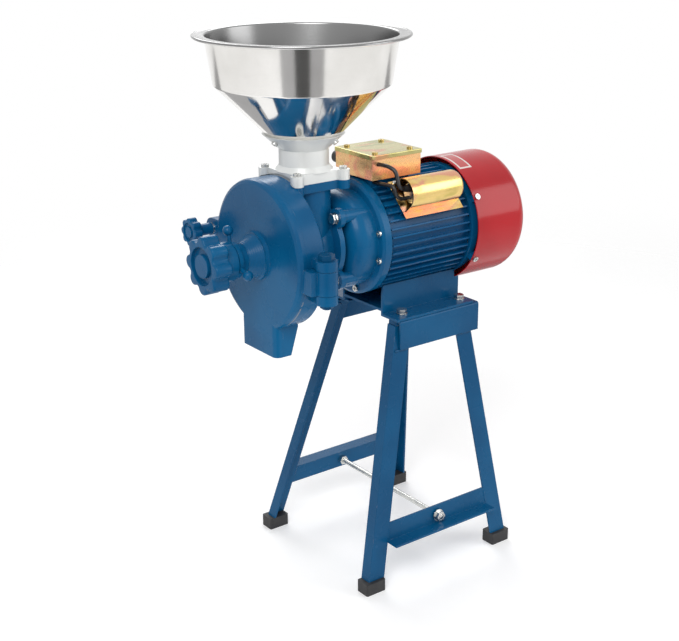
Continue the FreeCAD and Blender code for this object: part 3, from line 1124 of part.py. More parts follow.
flight.rotate(V(0, 0, 0), V(0, 1, 0), 90)
flight.translate(V(flight_x0, 0, AXIS_Z))
auger = shaft.fuse([tail, dogs, flight]).removeSplitter()
auger = auger.cut(rod_x(SPRING_POCKET_X, AUGER_END_X + 1, SPRING_R + SPRING_WIRE_R + 0.6))
auger = auger.cut(Part.makeSphere(BALL_R, V(BALL_X, 0, AXIS_Z)))
save(auger, "auger")
save(Part.makeSphere(BALL_R, V(BALL_X, 0, AXIS_Z)), "thrust_ball")

spring_long = SHAFT_X0 - SPRING_POCKET_X - 2 * SPRING_WIRE_R - 0.2
spring_pitch = spring_long / SPRING_TURNS
spring_path = Part.Wire(Part.makeHelix(spring_pitch, spring_long, SPRING_R).Edges)
spring_section = Part.Wire(Part.makeCircle(SPRING_WIRE_R, V(SPRING_R, 0, 0), V(0, 1, 0)))
spring = spring_path.makePipeShell([spring_section], True, True)
spring.rotate(V(0, 0, 0), V(0, 1, 0), 90)
spring.translate(V(SPRING_POCKET_X + SPRING_WIRE_R + 0.1, 0, AXIS_Z))
save(spring, "auger_spring")
print("spring least gap between turns", round(spring_pitch - 2 * SPRING_WIRE_R, 2))

coupling = rod_x(COUPLING_X0, COUPLING_X1, COUPLING_R)
coupling = coupling.cut(rod_x(COUPLING_X0 - 1, SHAFT_X0, AUGER_TAIL_R + RUN_FIT))
coupling = coupling.cut(rod_x(SHAFT_X0 - 1, COUPLING_X1 + 1, SHAFT_R))
slot_half = DOG_HALF + SEAT_GAP
coupling = coupling.cut(block(COUPLING_X0 - 1, SHAFT_X0 - 4, -COUPLING_R - 1, COUPLING_R + 1,
                              AXIS_Z - slot_half, AXIS_Z + slot_half))
save(coupling, "coupling")

# Adjusting screw, pad, lock nut and knob


def star_outline(x, lobes, tip_r, lobe_r, valley_r, y, z):
    """A knob's outline: round lobes joined by round valleys, each arc tangent to the next."""
    lobe_ring = tip_r - lobe_r
    step = math.pi / lobes
    reach = lobe_r + valley_r
    valley_ring = lobe_ring * math.cos(step) + math.sqrt(reach ** 2 - (lobe_ring * math.sin(step)) ** 2)

    def place(radius, turn):
        return V(x, y + radius * math.cos(turn), z + radius * math.sin(turn))

    edges = []
    for k in range(lobes):
        turn = 2 * step * k
        lobe = place(lobe_ring, turn)
        before = place(valley_ring, turn - step)
        after = place(valley_ring, turn + step)
        start = lobe + (before - lobe) * (lobe_r / reach)
        end = lobe + (after - lobe) * (lobe_r / reach)
        edges.append(Part.Arc(start, place(tip_r, turn), end).toShape())
        next_lobe = place(lobe_ring, turn + 2 * step)
        next_start = next_lobe + (after - next_lobe) * (lobe_r / reach)
        edges.append(Part.Arc(end, place(valley_ring - valley_r, turn + step), next_start).toShape())
    return Part.Face(Part.Wire(edges))


def rounded_star(x0, x1, lobes, tip_r, lobe_r, valley_r, edge_r, y, z):
    """A star-shaped hand wheel with rounded front and back edges."""
    star = star_outline(x0, lobes, tip_r, lobe_r, valley_r, y, z).extrude(V(x1 - x0, 0, 0))
    rims = [e for e in star.Edges if abs(e.BoundBox.XLength) < 0.01]
    return star.makeFillet(edge_r, rims)


knob = rounded_star(KNOB_X0, HUB_X0, KNOB_LOBES, KNOB_TIP_R, KNOB_LOBE_R, KNOB_VALLEY_R, KNOB_ROUND,
                    0.0, AXIS_Z)
knob = knob.fuse(rod_x(HUB_X0 - 1, HUB_X1, KNOB_HUB_R)).removeSplitter()
knob = knob.cut(tube_x(KNOB_X0 - 1, KNOB_X0 + KNOB_RECESS_DEEP, KNOB_RECESS_R, KNOB_BUTTON_R))
knob = knob.cut(rod_x(KNOB_X0 + KNOB_RECESS_DEEP + 4, HUB_X1 + 1, SCREW_R))
save(knob, "adjusting_knob")
screw = rod_x(KNOB_X0 + KNOB_RECESS_DEEP + 4, PAD_BACK_X, SCREW_R)
save(screw.cut(rod_x(PAD_BACK_X - PAD_STEM_LONG - 1, PAD_BACK_X + 1, PAD_STEM_R + RUN_FIT)),
     "adjusting_screw")
pad = rod_x(PAD_BACK_X, PAD_FACE_X, PAD_R).fuse(rod_x(PAD_BACK_X - PAD_STEM_LONG, PAD_BACK_X, PAD_STEM_R))
save(pad.removeSplitter(), "thrust_pad")
nut_parts = [rod_x(LOCK_NUT_X, BOSS_TIP_X, LOCK_NUT_R)]
nut_mid = (LOCK_NUT_X + BOSS_TIP_X) / 2.0
for k in range(LEVER_COUNT):
    turn = LEVER_FIRST_DEG + 360.0 * k / LEVER_COUNT
    y, z = on_ring(1.0, turn)
    nut_parts.append(rod((nut_mid, y * (SCREW_R + 4), AXIS_Z + (z - AXIS_Z) * (SCREW_R + 4)), (0, y,
                                                                                               z - AXIS_Z),
                         LEVER_REACH - SCREW_R - 4, LEVER_R))
    nut_parts.append(Part.makeSphere(LEVER_BALL_R, V(nut_mid, y * LEVER_REACH,
                                                     AXIS_Z + (z - AXIS_Z) * LEVER_REACH)))
lock_nut = nut_parts[0].fuse(nut_parts[1:]).removeSplitter()
lock_nut = lock_nut.cut(rod_x(LOCK_NUT_X - 9, BOSS_TIP_X + 9, SCREW_R + RUN_FIT))
save(lock_nut, "lock_nut")

# Side clamp

ear_face = SEAM_X - CLAMP_EAR_WALL
washer_x0 = ear_face - WASHER_WALL
clamp_hub_x0 = washer_x0 - CLAMP_HUB_LONG
clamp_x0 = clamp_hub_x0 - CLAMP_LONG
washer = tube_x(washer_x0, ear_face, CLAMP_HUB_R, CLAMP_STUD_R + RUN_FIT, CLAMP_Y, CLAMP_Z)
save(washer, "clamp_washer")
clamp = rounded_star(clamp_x0, clamp_hub_x0, 8, CLAMP_TIP_R, CLAMP_LOBE_R, CLAMP_VALLEY_R, 1.6, CLAMP_Y,
                     CLAMP_Z)
clamp = clamp.fuse([rod_x(clamp_hub_x0 - 1, washer_x0, CLAMP_HUB_R, CLAMP_Y, CLAMP_Z),
                    rod_x(washer_x0 - 1, SEAM_X + CLAMP_ENGAGE, CLAMP_STUD_R, CLAMP_Y,
                          CLAMP_Z)]).removeSplitter()
clamp = clamp.cut(tube_x(clamp_x0 - 1, clamp_x0 + 3, CLAMP_TIP_R * 0.66, CLAMP_TIP_R * 0.4, CLAMP_Y,
                         CLAMP_Z))
save(clamp, "clamp_knob")

# Feed neck and hopper

flange = corner_plate(FEED_PLATE_TOP_Z, NECK_FLANGE_TOP_Z)
ring_clear = COVER_R + 1.0
flange = flange.cut(rod_x(COVER_X, ring_x1 + 6, ring_clear))
cup_top_inner = CUP_TOP_R - CUP_WALL
cup_floor_z = CUP_Z + CUP_FLOOR_RISE
tower = turned_z([(NECK_BORE_R, FEED_PLATE_TOP_Z), (NECK_R, FEED_PLATE_TOP_Z), (NECK_R, CUP_Z),
                  (CUP_TOP_R, CUP_TOP_Z), (cup_top_inner, CUP_TOP_Z), (NECK_BORE_R, cup_floor_z)], FEED_X)
foot_ring = turned_z([(NECK_R - 1, NECK_FLANGE_TOP_Z - 1), (NECK_R + 6, NECK_FLANGE_TOP_Z - 1),
                      (NECK_R, NECK_FLANGE_TOP_Z + 6), (NECK_R - 1, NECK_FLANGE_TOP_Z + 6)], FEED_X)
neck = flange.cut(rod((FEED_X, 0, FEED_PLATE_TOP_Z - 1), (0, 0, 1), NECK_FLANGE_WALL + 2, NECK_BORE_R))
neck = neck.fuse([tower, foot_ring]).removeSplitter()
neck_screws = []
for x, y in feed_places:
    neck = neck.cut(rod((x, y, FEED_PLATE_TOP_Z - 1), (0, 0, 1), NECK_FLANGE_WALL + 2, NECK_SCREW_R))
    neck_screws.append(pan_screw((x, y, NECK_FLANGE_TOP_Z), (0, 0, 1), NECK_SCREW_HEAD_R,
                                 NECK_SCREW_HEAD, NECK_SCREW_R,
                                 NECK_FLANGE_WALL + FEED_PLATE_WALL - 1))
save(group(neck_screws), "neck_screws")

cup_slope = (cup_top_inner - NECK_BORE_R) / (CUP_TOP_Z - cup_floor_z)
seat_r = cup_top_inner - RUN_FIT
outlet_z = CUP_TOP_Z - (seat_r - HOPPER_OUTLET_R) / cup_slope
band_top_z = HOPPER_CONE_TOP_Z + HOPPER_BAND_HIGH
w = HOPPER_WALL
hopper = turned_z([(HOPPER_OUTLET_R, outlet_z), (seat_r, CUP_TOP_Z), (HOPPER_CONE_TOP_R, HOPPER_CONE_TOP_Z),
                   (HOPPER_BAND_TOP_R, band_top_z - w), (HOPPER_RIM_R, band_top_z - w), (HOPPER_RIM_R,
                                                                                         band_top_z),
                   (HOPPER_BAND_TOP_R - w, band_top_z), (HOPPER_CONE_TOP_R - w,
                                                         HOPPER_CONE_TOP_Z + w * 0.3),
                   (seat_r - w, CUP_TOP_Z + w * 0.5), (HOPPER_OUTLET_R - w, outlet_z + w * 0.5)], FEED_X)
bead = Part.makeTorus(HOPPER_RIM_R - HOPPER_BEAD_R, HOPPER_BEAD_R, V(FEED_X, 0, band_top_z - w), V(0, 0, 1))
hopper = hopper.fuse(bead).removeSplitter()
hopper_screws = []
cone_out = V(CUP_HIGH, 0, -(CUP_TOP_R - NECK_R))
cone_out.normalize()
for turn in (-60.0, 60.0, 180.0):
    spin = FreeCAD.Rotation(V(0, 0, 1), turn - 120.0)
    out = spin.multVec(cone_out)
    share = 0.55
    seat = spin.multVec(V(NECK_R + (CUP_TOP_R - NECK_R) * share, 0, 0)) + V(FEED_X, 0,
                                                                            CUP_Z + CUP_HIGH * share)
    screw = pan_screw(seat, out, CUP_SCREW_HEAD_R, CUP_SCREW_HEAD, CUP_SCREW_R, CUP_WALL + CUP_SCREW_PAST)
    hopper_screws.append(screw)
    hole = Part.makeCylinder(CUP_SCREW_R, CUP_SCREW_HOLE, seat - out * CUP_SCREW_HOLE_IN, out)
    neck = neck.cut(hole)
    hopper = hopper.cut(hole)
save(neck, "feed_neck")
save(hopper, "hopper")
save(group(hopper_screws), "hopper_screws")
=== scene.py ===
"""Visual dress of an electric grain mill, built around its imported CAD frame."""
import json
import logging
import math
from collections.abc import Sequence
from dataclasses import dataclass
from enum import Enum

import bpy
import numpy as np
from mathutils import Matrix, Vector


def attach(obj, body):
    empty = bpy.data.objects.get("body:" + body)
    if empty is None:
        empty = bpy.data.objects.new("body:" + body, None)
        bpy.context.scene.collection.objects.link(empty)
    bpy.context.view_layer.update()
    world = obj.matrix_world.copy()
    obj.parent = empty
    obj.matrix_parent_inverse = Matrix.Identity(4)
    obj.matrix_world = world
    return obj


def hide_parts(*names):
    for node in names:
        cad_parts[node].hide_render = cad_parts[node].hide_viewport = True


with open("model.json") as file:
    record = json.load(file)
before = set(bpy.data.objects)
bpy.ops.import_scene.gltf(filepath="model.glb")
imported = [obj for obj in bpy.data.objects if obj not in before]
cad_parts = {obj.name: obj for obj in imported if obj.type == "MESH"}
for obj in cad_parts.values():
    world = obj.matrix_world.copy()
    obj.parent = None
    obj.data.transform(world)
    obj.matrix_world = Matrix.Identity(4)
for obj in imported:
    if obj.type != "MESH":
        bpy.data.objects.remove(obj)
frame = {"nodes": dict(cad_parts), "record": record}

LOG = logging.getLogger("grain_mill")
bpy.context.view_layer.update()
MM = 0.001
AXIS_Z = 0.495
FEED_X = -0.086
TURN = 2.0 * math.pi
Colour = tuple[float, float, float, float]
WHITE: Colour = (1.0, 1.0, 1.0, 1.0)
# The colour sockets of a Mix node by place, because their names repeat for each type of data.
MIX_SHARE, MIX_FIRST, MIX_SECOND, MIX_RESULT = 0, 6, 7, 2
# How far beyond the ends of an arc its extra points lie, in radii.
ARC_EASE = 0.3
# The radius in millimetres at which a surface that reaches its own axis ends.
AXIS_R = 0.02


class Axis(Enum):
    """The line that a turned piece is made about."""

    MOTOR = "along X at the motor's height"
    FEED = "upright through the hopper"


class Body(Enum):
    """The CAD bodies that new pieces ride on."""

    BASE = "base"
    SCREW = "screw"
    CLAMP = "clamp"


def srgb(red: int, green: int, blue: int) -> Colour:
    """A display colour of three 0 to 255 values as a linear one, by the sRGB curve."""
    shares = (value / 255.0 for value in (red, green, blue))
    linear = (s / 12.92 if s <= 0.04045 else ((s + 0.055) / 1.055) ** 2.4 for s in shares)
    return (*linear, 1.0)


# Shader graphs


class Wire:
    """A shader socket that takes part in plain arithmetic through Math nodes."""

    def __init__(self, graph: "Graph", socket: bpy.types.NodeSocket) -> None:
        """Keeps the socket and the graph it belongs to."""
        self.graph = graph
        self.socket = socket

    def math(self, operation: str, *terms: "Wire | float", first: bool = True) -> "Wire":
        """One Math node.

        Args:
            operation: The node's operation.
            terms: Its other inputs.
            first: Whether this socket comes before them.

        Returns:
            The node's value.
        """
        ordered = (self, *terms) if first else (*terms, self)
        return self.graph.node("ShaderNodeMath", {"operation": operation}, dict(enumerate(ordered)))

    def __add__(self, other: "Wire | float") -> "Wire":
        """The sum."""
        return self.math("ADD", other)

    def __sub__(self, other: "Wire | float") -> "Wire":
        """The difference."""
        return self.math("SUBTRACT", other)

    def __rsub__(self, other: float) -> "Wire":
        """A number less this socket."""
        return self.math("SUBTRACT", other, first=False)

    def __mul__(self, other: "Wire | float") -> "Wire":
        """The product."""
        return self.math("MULTIPLY", other)

    def __neg__(self) -> "Wire":
        """The opposite."""
        return self.math("MULTIPLY", -1.0)

    __radd__ = __add__
    __rmul__ = __mul__

    def wave(self, pitch: float) -> "Wire":
        """A sine of this socket that repeats every pitch."""
        return (self * (TURN / pitch)).math("SINE")

    def rise(self, low: float, high: float) -> "Wire":
        """A smooth step from 0 at low to 1 at high."""
        ends = {"Value": self, "From Min": low, "From Max": high}
        return self.graph.node("ShaderNodeMapRange", {"interpolation_type": "SMOOTHSTEP"}, ends)

    def within(self, low: float, high: float, soft: float) -> "Wire":
        """1 between two values and 0 outside them, with a soft edge."""
        return self.rise(low - soft, low + soft) * (1.0 - self.rise(high - soft, high + soft))

    def part(self, name: str) -> "Wire":
        """Another output of the same node."""
        return Wire(self.graph, self.socket.node.outputs[name])


class Graph:
    """The node tree of one material, and ways to add to it."""

    def __init__(self, tree: bpy.types.NodeTree) -> None:
        """Clears the tree and places the coordinate node."""
        tree.nodes.clear()
        self.tree = tree
        self.place = self.node("ShaderNodeTexCoord", output="Object")
        parts = self.node("ShaderNodeSeparateXYZ", inputs={0: self.place})
        self.x, self.y, self.z = parts, parts.part("Y"), parts.part("Z")

    def node(self, kind: str, settings: dict | None = None, inputs: dict | None = None,
             output: int | str = 0) -> Wire:
        """Adds a node of any type.

        Args:
            kind: The node's type.
            settings: Its properties, set before its sockets.
            inputs: Its sockets by name or place, each a Wire or a plain value.
            output: The output to hand back.

        Returns:
            That output.
        """
        made = self.tree.nodes.new(kind)
        for key, value in (settings or {}).items():
            setattr(made, key, value)
        for key, value in (inputs or {}).items():
            if isinstance(value, Wire):
                self.tree.links.new(value.socket, made.inputs[key])
            else:
                made.inputs[key].default_value = value
        return Wire(self, made.outputs[output])

    def noise(self, scale: float, detail: float = 2.0, stretch: Sequence[float] = (1.0, 1.0, 1.0),
              distortion: float = 0.0) -> Wire:
        """Noise over the object's own coordinates, with an optional stretch along each axis."""
        place = self.node("ShaderNodeVectorMath", {"operation": "MULTIPLY"},
                          {0: self.place, 1: tuple(stretch)})
        sockets = {"Vector": place, "Scale": scale, "Detail": detail, "Distortion": distortion}
        return self.node("ShaderNodeTexNoise", {}, sockets)

    def mix(self, share: Wire | float, first: Wire | Colour, second: Wire | Colour) -> Wire:
        """A colour between two others."""
        sockets = {MIX_SHARE: share, MIX_FIRST: first, MIX_SECOND: second}
        return self.node("ShaderNodeMix", {"data_type": "RGBA"}, sockets, MIX_RESULT)

    def reach(self) -> Wire:
        """The distance from the motor's axis."""
        return (self.y * self.y + (self.z - AXIS_Z) * (self.z - AXIS_Z)).math("SQRT")

    def swing(self) -> Wire:
        """The angle about the motor's axis in radians, from -Y upwards."""
        return (self.z - AXIS_Z).math("ARCTAN2", -self.y)

    def edge_normal(self, radius: float) -> Wire:
        """A normal that rounds the edges of a CAD mesh."""
        return self.node("ShaderNodeBevel", {"samples": 4}, {"Radius": radius})

    def bump(self, height: Wire, distance: float, normal: Wire | None = None) -> Wire:
        """A normal from a height that is multiplied by a distance in metres."""
        sockets = {"Strength": 1.0, "Distance": distance, "Height": height}
        if normal is not None:
            sockets["Normal"] = normal
        return self.node("ShaderNodeBump", {}, sockets)

    def close(self, **sockets: "Wire | float | Colour") -> None:
        """Ends the graph in a Principled surface; an underscore in a name stands for a space."""
        named = {key.replace("_", " "): value for key, value in sockets.items()}
        self.show(self.node("ShaderNodeBsdfPrincipled", {}, named), "ShaderNodeOutputMaterial")

    def show(self, surface: Wire, kind: str) -> None:
        """Joins a shader to an output node of the given type."""
        ending = self.tree.nodes.new(kind)
        self.tree.links.new(surface.socket, ending.inputs["Surface"])


@dataclass(frozen=True)
class Finish:
    """A procedural material with a name.

    In every finish a pair of numbers says where a smooth step starts and ends, a scale is that
    of a noise, and a share or a roughness is how much a pattern adds.
    """

    name: str

    def paint(self, graph: Graph) -> None:
        """Fills the material's graph; each finish has its own."""
        raise NotImplementedError

    def material(self) -> bpy.types.Material:
        """The Blender material, made once."""
        title = f"finish_{self.name}"
        known = bpy.data.materials.get(title)
        if known is not None:
            return known
        made = bpy.data.materials.new(title)
        made.use_nodes = True
        self.paint(Graph(made.node_tree))
        return made


@dataclass(frozen=True)
class Enamel(Finish):
    """Gloss paint over a rolled or cast piece, with thin wear at its edges."""

    lit: Colour
    shade: Colour
    bare: Colour = (0.34, 0.35, 0.36, 1.0)
    roughness: float = 0.27
    coat: float = 0.06
    coat_rough: float = 0.12
    ior: float = 1.33
    gloss: float = 0.28
    lump: float = 0.00012
    lump_scale: float = 110.0
    peel: float = 0.000006
    peel_scale: float = 1500.0
    edge: float = 0.0009
    edge_bend: tuple[float, float] = (0.05, 0.22)
    wear: float = 0.5
    chip_scale: float = 85.0
    chips: tuple[float, float] = (0.56, 0.68)
    worn_rough: float = 0.2
    worn_metal: float = 0.9
    patch_scale: float = 32.0
    patch_rough: float = 0.10
    cloud_scale: float = 9.0
    clouds: tuple[float, float] = (0.3, 0.7)
    metallic: float = 0.0

    def height(self, graph: Graph) -> Wire:
        """The paint's relief in metres: casting lumps and orange peel."""
        lumps = graph.noise(self.lump_scale, detail=3.0)
        peel = graph.noise(self.peel_scale, detail=1.0)
        return lumps * self.lump + peel * self.peel

    def worn(self, graph: Graph, rounded: Wire) -> Wire:
        """Where the paint is rubbed through, from 0 to 1: sharp edges, broken up by noise."""
        flat = graph.node("ShaderNodeNewGeometry", output="Normal")
        along = graph.node("ShaderNodeVectorMath", {"operation": "DOT_PRODUCT"},
                           {0: rounded, 1: flat}, "Value")
        edge = (1.0 - along).rise(*self.edge_bend)
        return edge * graph.noise(self.chip_scale, detail=4.0).rise(*self.chips) * self.wear

    def colour(self, graph: Graph) -> Wire:
        """The paint's colour, a little uneven over the piece."""
        clouds = graph.noise(self.cloud_scale, detail=2.0).rise(*self.clouds)
        return graph.mix(clouds, self.shade, self.lit)

    def paint(self, graph: Graph) -> None:
        """Paint, wear, relief and a clear coat."""
        rounded = graph.edge_normal(self.edge)
        worn = self.worn(graph, rounded)
        patchy = graph.noise(self.patch_scale, detail=3.0)
        least_rough = self.roughness - self.patch_rough * 0.5
        graph.close(
            Base_Color=graph.mix(worn, self.colour(graph), self.bare),
            Roughness=patchy * self.patch_rough + least_rough + worn * self.worn_rough,
            Metallic=worn * self.worn_metal + self.metallic,
            IOR=self.ior,
            Specular_IOR_Level=self.gloss,
            Coat_Weight=self.coat,
            Coat_Roughness=self.coat_rough,
            Normal=graph.bump(self.height(graph), 1.0, rounded),
        )


@dataclass(frozen=True)
class CoverEnamel(Enamel):
    """The front cover's enamel: turned grooves on its boss, and a rubbed line low on its seam."""

    soft: float = 0.0004
    boss_x: float = -0.1665
    boss_step: float = 0.001
    boss_in: float = 0.0205
    boss_out: float = 0.0335
    turned_off: float = 0.8
    groove: float = 0.00005
    groove_pitch: float = 0.0013
    rub_x: float = -0.1558
    rub_half_x: float = 0.0011
    rub_from: float = -1.02
    rub_to: float = -0.46
    rub_soft: float = 0.05
    rub_reach: tuple[float, float] = (0.1015, 0.1025)
    rub_scale: float = 240.0
    rub_breaks: tuple[float, float] = (0.36, 0.5)

    def height(self, graph: Graph) -> Wire:
        """The casting's relief with concentric tool marks on the boss."""
        far = graph.reach()
        ahead = 1.0 - graph.x.rise(self.boss_x - self.boss_step, self.boss_x)
        on_boss = ahead * far.within(self.boss_in, self.boss_out, self.soft)
        marks = far.wave(self.groove_pitch) * self.groove
        return super().height(graph) * (1.0 - on_boss * self.turned_off) + marks * on_boss

    def worn(self, graph: Graph, rounded: Wire) -> Wire:
        """Edge wear and the bright line that the cover's seam shows."""
        line = graph.x.within(self.rub_x - self.rub_half_x, self.rub_x + self.rub_half_x, self.soft)
        span = graph.swing().within(self.rub_from, self.rub_to, self.rub_soft)
        span = span * graph.reach().rise(*self.rub_reach)
        broken = graph.noise(self.rub_scale, detail=3.0).rise(*self.rub_breaks)
        return (super().worn(graph, rounded) + line * span * broken).math("MINIMUM", 1.0)


@dataclass(frozen=True)
class StripEnamel(Enamel):
    """The fan cover's enamel with a printed strip: a pale border round a plain field."""

    strip_x: tuple[float, float] = (0.1585, 0.1815)
    strip_turn: tuple[float, float] = (1.07, 1.60)
    border_x: float = 0.003
    border_turn: float = 0.034
    soft_x: float = 0.0002
    soft_turn: float = 0.002
    skin: tuple[float, float] = (0.0905, 0.0912)
    pale: Colour = srgb(226, 214, 210)
    field: Colour = srgb(190, 84, 84)

    def colour(self, graph: Graph) -> Wire:
        """Red enamel, with the strip's border and field laid over its outer skin."""
        swing = graph.swing()
        far = graph.reach().rise(*self.skin)
        outer = graph.x.within(*self.strip_x, self.soft_x)
        outer = outer * swing.within(*self.strip_turn, self.soft_turn) * far
        low, high = self.strip_x
        start, end = self.strip_turn
        inner = graph.x.within(low + self.border_x, high - self.border_x, self.soft_x)
        inner = inner * swing.within(start + self.border_turn, end - self.border_turn,
                                     self.soft_turn)
        bordered = graph.mix(outer, super().colour(graph), self.pale)
        return graph.mix(outer * inner, bordered, self.field)


@dataclass(frozen=True)
class Metal(Finish):
    """Bare or plated metal with faint directional marks."""

    tone: Colour
    dull: Colour
    roughness: float = 0.28
    spread: float = 0.14
    grain: tuple[float, float, float] = (1.0, 1.0, 1.0)
    grain_scale: float = 260.0
    depth: float = 0.00002
    metallic: float = 1.0
    edge: float = 0.0005
    patch_scale: float = 45.0
    patches: tuple[float, float] = (0.35, 0.7)

    def colour(self, graph: Graph) -> Wire:
        """The metal's tone, dulled in patches."""
        patches = graph.noise(self.patch_scale, detail=3.0).rise(*self.patches)
        return graph.mix(patches, self.tone, self.dull)

    def paint(self, graph: Graph) -> None:
        """Tone, streaks in the roughness and a low relief."""
        streaks = graph.noise(self.grain_scale, detail=4.0, stretch=self.grain)
        graph.close(
            Base_Color=self.colour(graph),
            Roughness=streaks * self.spread + (self.roughness - self.spread * 0.5),
            Metallic=self.metallic,
            Normal=graph.bump(streaks, self.depth, graph.edge_normal(self.edge)),
        )


@dataclass(frozen=True)
class Passivate(Metal):
    """Yellow zinc passivate: gold that drifts to straw, rose and green over sheet metal."""

    rose: Colour = srgb(236, 154, 126)
    green: Colour = srgb(214, 184, 122)
    straw: Colour = srgb(242, 194, 138)
    drift_scale: float = 34.0
    drift_stretch: tuple[float, float, float] = (0.35, 1.0, 1.0)
    drift_twist: float = 0.9
    blush_scale: float = 40.0
    blush_stretch: tuple[float, float, float] = (0.5, 1.0, 0.8)
    blush_twist: float = 0.6
    straw_from: tuple[float, float] = (0.38, 0.52)
    rose_from: tuple[float, float] = (0.50, 0.62)
    rose_share: float = 0.85
    green_from: tuple[float, float] = (0.56, 0.68)
    green_share: float = 0.8

    def colour(self, graph: Graph) -> Wire:
        """Three drifting tints over the gold."""
        drift = graph.noise(self.drift_scale, 2.0, self.drift_stretch, self.drift_twist)
        blush = graph.noise(self.blush_scale, 2.0, self.blush_stretch, self.blush_twist)
        straw = graph.mix(drift.rise(*self.straw_from), self.tone, self.straw)
        rosy = graph.mix(blush.rise(*self.rose_from) * self.rose_share, straw, self.rose)
        return graph.mix(drift.rise(*self.green_from) * self.green_share, rosy, self.green)


@dataclass(frozen=True)
class SpunSteel(Metal):
    """The hopper's stainless steel: a polished cone under a satin band."""

    band_z: float = 0.7185
    band_rough: float = 0.12
    band_foot: float = 0.119
    band_slope: float = 0.156
    cone_slope: float = 1.016
    # inside: the darker grey of the painted shade over the hopper's inside and the top of its lip.
    inside: Colour = srgb(132, 132, 132)
    inside_rough: float = 0.1
    skin: tuple[float, float] = (-0.0009, -0.0005)
    lip_z: float = 0.7815
    soft: float = 0.0006
    ring_scale: float = 900.0
    ring_stretch: tuple[float, float, float] = (0.02, 0.02, 1.0)
    ring_rough: float = 0.06
    band_rings: float = 2.0
    smudge_scale: float = 13.0
    smudge_rough: float = 0.05
    smudges: tuple[float, float] = (0.35, 0.75)

    def paint(self, graph: Graph) -> None:
        """Spinning lines on the cone, a satin band above it, and painted shade: a darker grey over
        the inside and the top of the lip.
        """
        rings = graph.noise(self.ring_scale, detail=3.0, stretch=self.ring_stretch)
        smudge = graph.noise(self.smudge_scale, detail=3.0)
        band = graph.z.within(self.band_z, self.lip_z, self.soft)
        least_rough = self.roughness - self.ring_rough * 0.5
        rough = rings * self.ring_rough + least_rough + smudge * self.smudge_rough
        side_x = graph.x - FEED_X
        far = (side_x * side_x + graph.y * graph.y).math("SQRT")
        on_band = (graph.z - self.band_z) * self.band_slope + self.band_foot
        on_cone = (graph.z - self.band_z) * self.cone_slope + self.band_foot
        # Painted shade: the inside of the wall and the top of the lip take the darker inside grey.
        within = 1.0 - (far - on_band.math("MINIMUM", on_cone)).rise(*self.skin)
        shaded = within.math("MAXIMUM", graph.z.rise(self.lip_z - self.soft, self.lip_z))
        outside = graph.mix(smudge.rise(*self.smudges), self.tone, self.dull)
        satin = band * (self.band_rough - self.roughness)
        graph.close(
            Base_Color=graph.mix(shaded, outside, self.inside),
            Roughness=rough + satin + shaded * self.inside_rough,
            Metallic=1.0,
            Normal=graph.bump(rings * (band * self.band_rings + 1.0), self.depth),
        )


@dataclass(frozen=True)
class Moulded(Finish):
    """Rubber or plastic: dark, with a fine grain and a dusty tint."""

    tone: Colour
    dust: Colour
    roughness: float = 0.55
    grain: float = 0.00003
    grain_scale: float = 1100.0
    coat: float = 0.0
    edge: float = 0.0006
    dust_scale: float = 40.0
    dusting: tuple[float, float] = (0.45, 0.8)
    dust_share: float = 0.5
    dust_rough: float = 0.15

    def paint(self, graph: Graph) -> None:
        """Tone, dust in patches and a moulded grain."""
        fine = graph.noise(self.grain_scale, detail=2.0)
        dust = graph.noise(self.dust_scale, detail=4.0).rise(*self.dusting)
        graph.close(
            Base_Color=graph.mix(dust * self.dust_share, self.tone, self.dust),
            Roughness=dust * self.dust_rough + self.roughness,
            Coat_Weight=self.coat,
            Normal=graph.bump(fine, self.grain, graph.edge_normal(self.edge)),
        )


@dataclass(frozen=True)
class Ridged(Metal):
    """Metal with close ridges: stacked sheets along X, or strands about the motor's axis."""

    patch_scale: float = 60.0
    pitch: float = 0.0007
    across: bool = False
    ridge: float = 0.00012
    ridge_share: float = 0.3
    patch_share: float = 0.5

    def paint(self, graph: Graph) -> None:
        """Ridges darken the tone between them and raise the surface."""
        ridges = graph.x.wave(self.pitch)
        if self.across:
            ridges = (ridges + graph.reach().wave(self.pitch)) * 0.5
        patch = graph.noise(self.patch_scale, detail=3.0)
        bright = ridges * self.ridge_share + patch * self.patch_share
        graph.close(
            Base_Color=graph.mix(bright, self.dull, self.tone),
            Roughness=patch * self.spread + self.roughness,
            Metallic=self.metallic,
            Normal=graph.bump(ridges, self.ridge),
        )


@dataclass(frozen=True)
class StagePaint(Finish):
    """The matt paint of the floor and of the dark sheets over it, which only paint dark
    reflections.
    """

    tone: Colour
    fade: tuple[float, float] | None
    roughness: float = 0.7
    patch_scale: float = 3.0
    patch_rough: float = 0.1
    glow: float = 0.2

    def paint(self, graph: Graph) -> None:
        """A tone with a very faint unevenness, which fades away outwards."""
        patch = graph.noise(self.patch_scale, detail=2.0)
        rough = patch * self.patch_rough + self.roughness
        sockets = {"Base_Color": self.tone, "Roughness": rough}
        if self.fade is not None:
            away = (graph.x * graph.x + graph.y * graph.y).math("SQRT")
            sockets["Alpha"] = 1.0 - away.rise(*self.fade)
            sockets["Emission_Color"] = self.tone
            sockets["Emission_Strength"] = self.glow
        graph.close(**sockets)


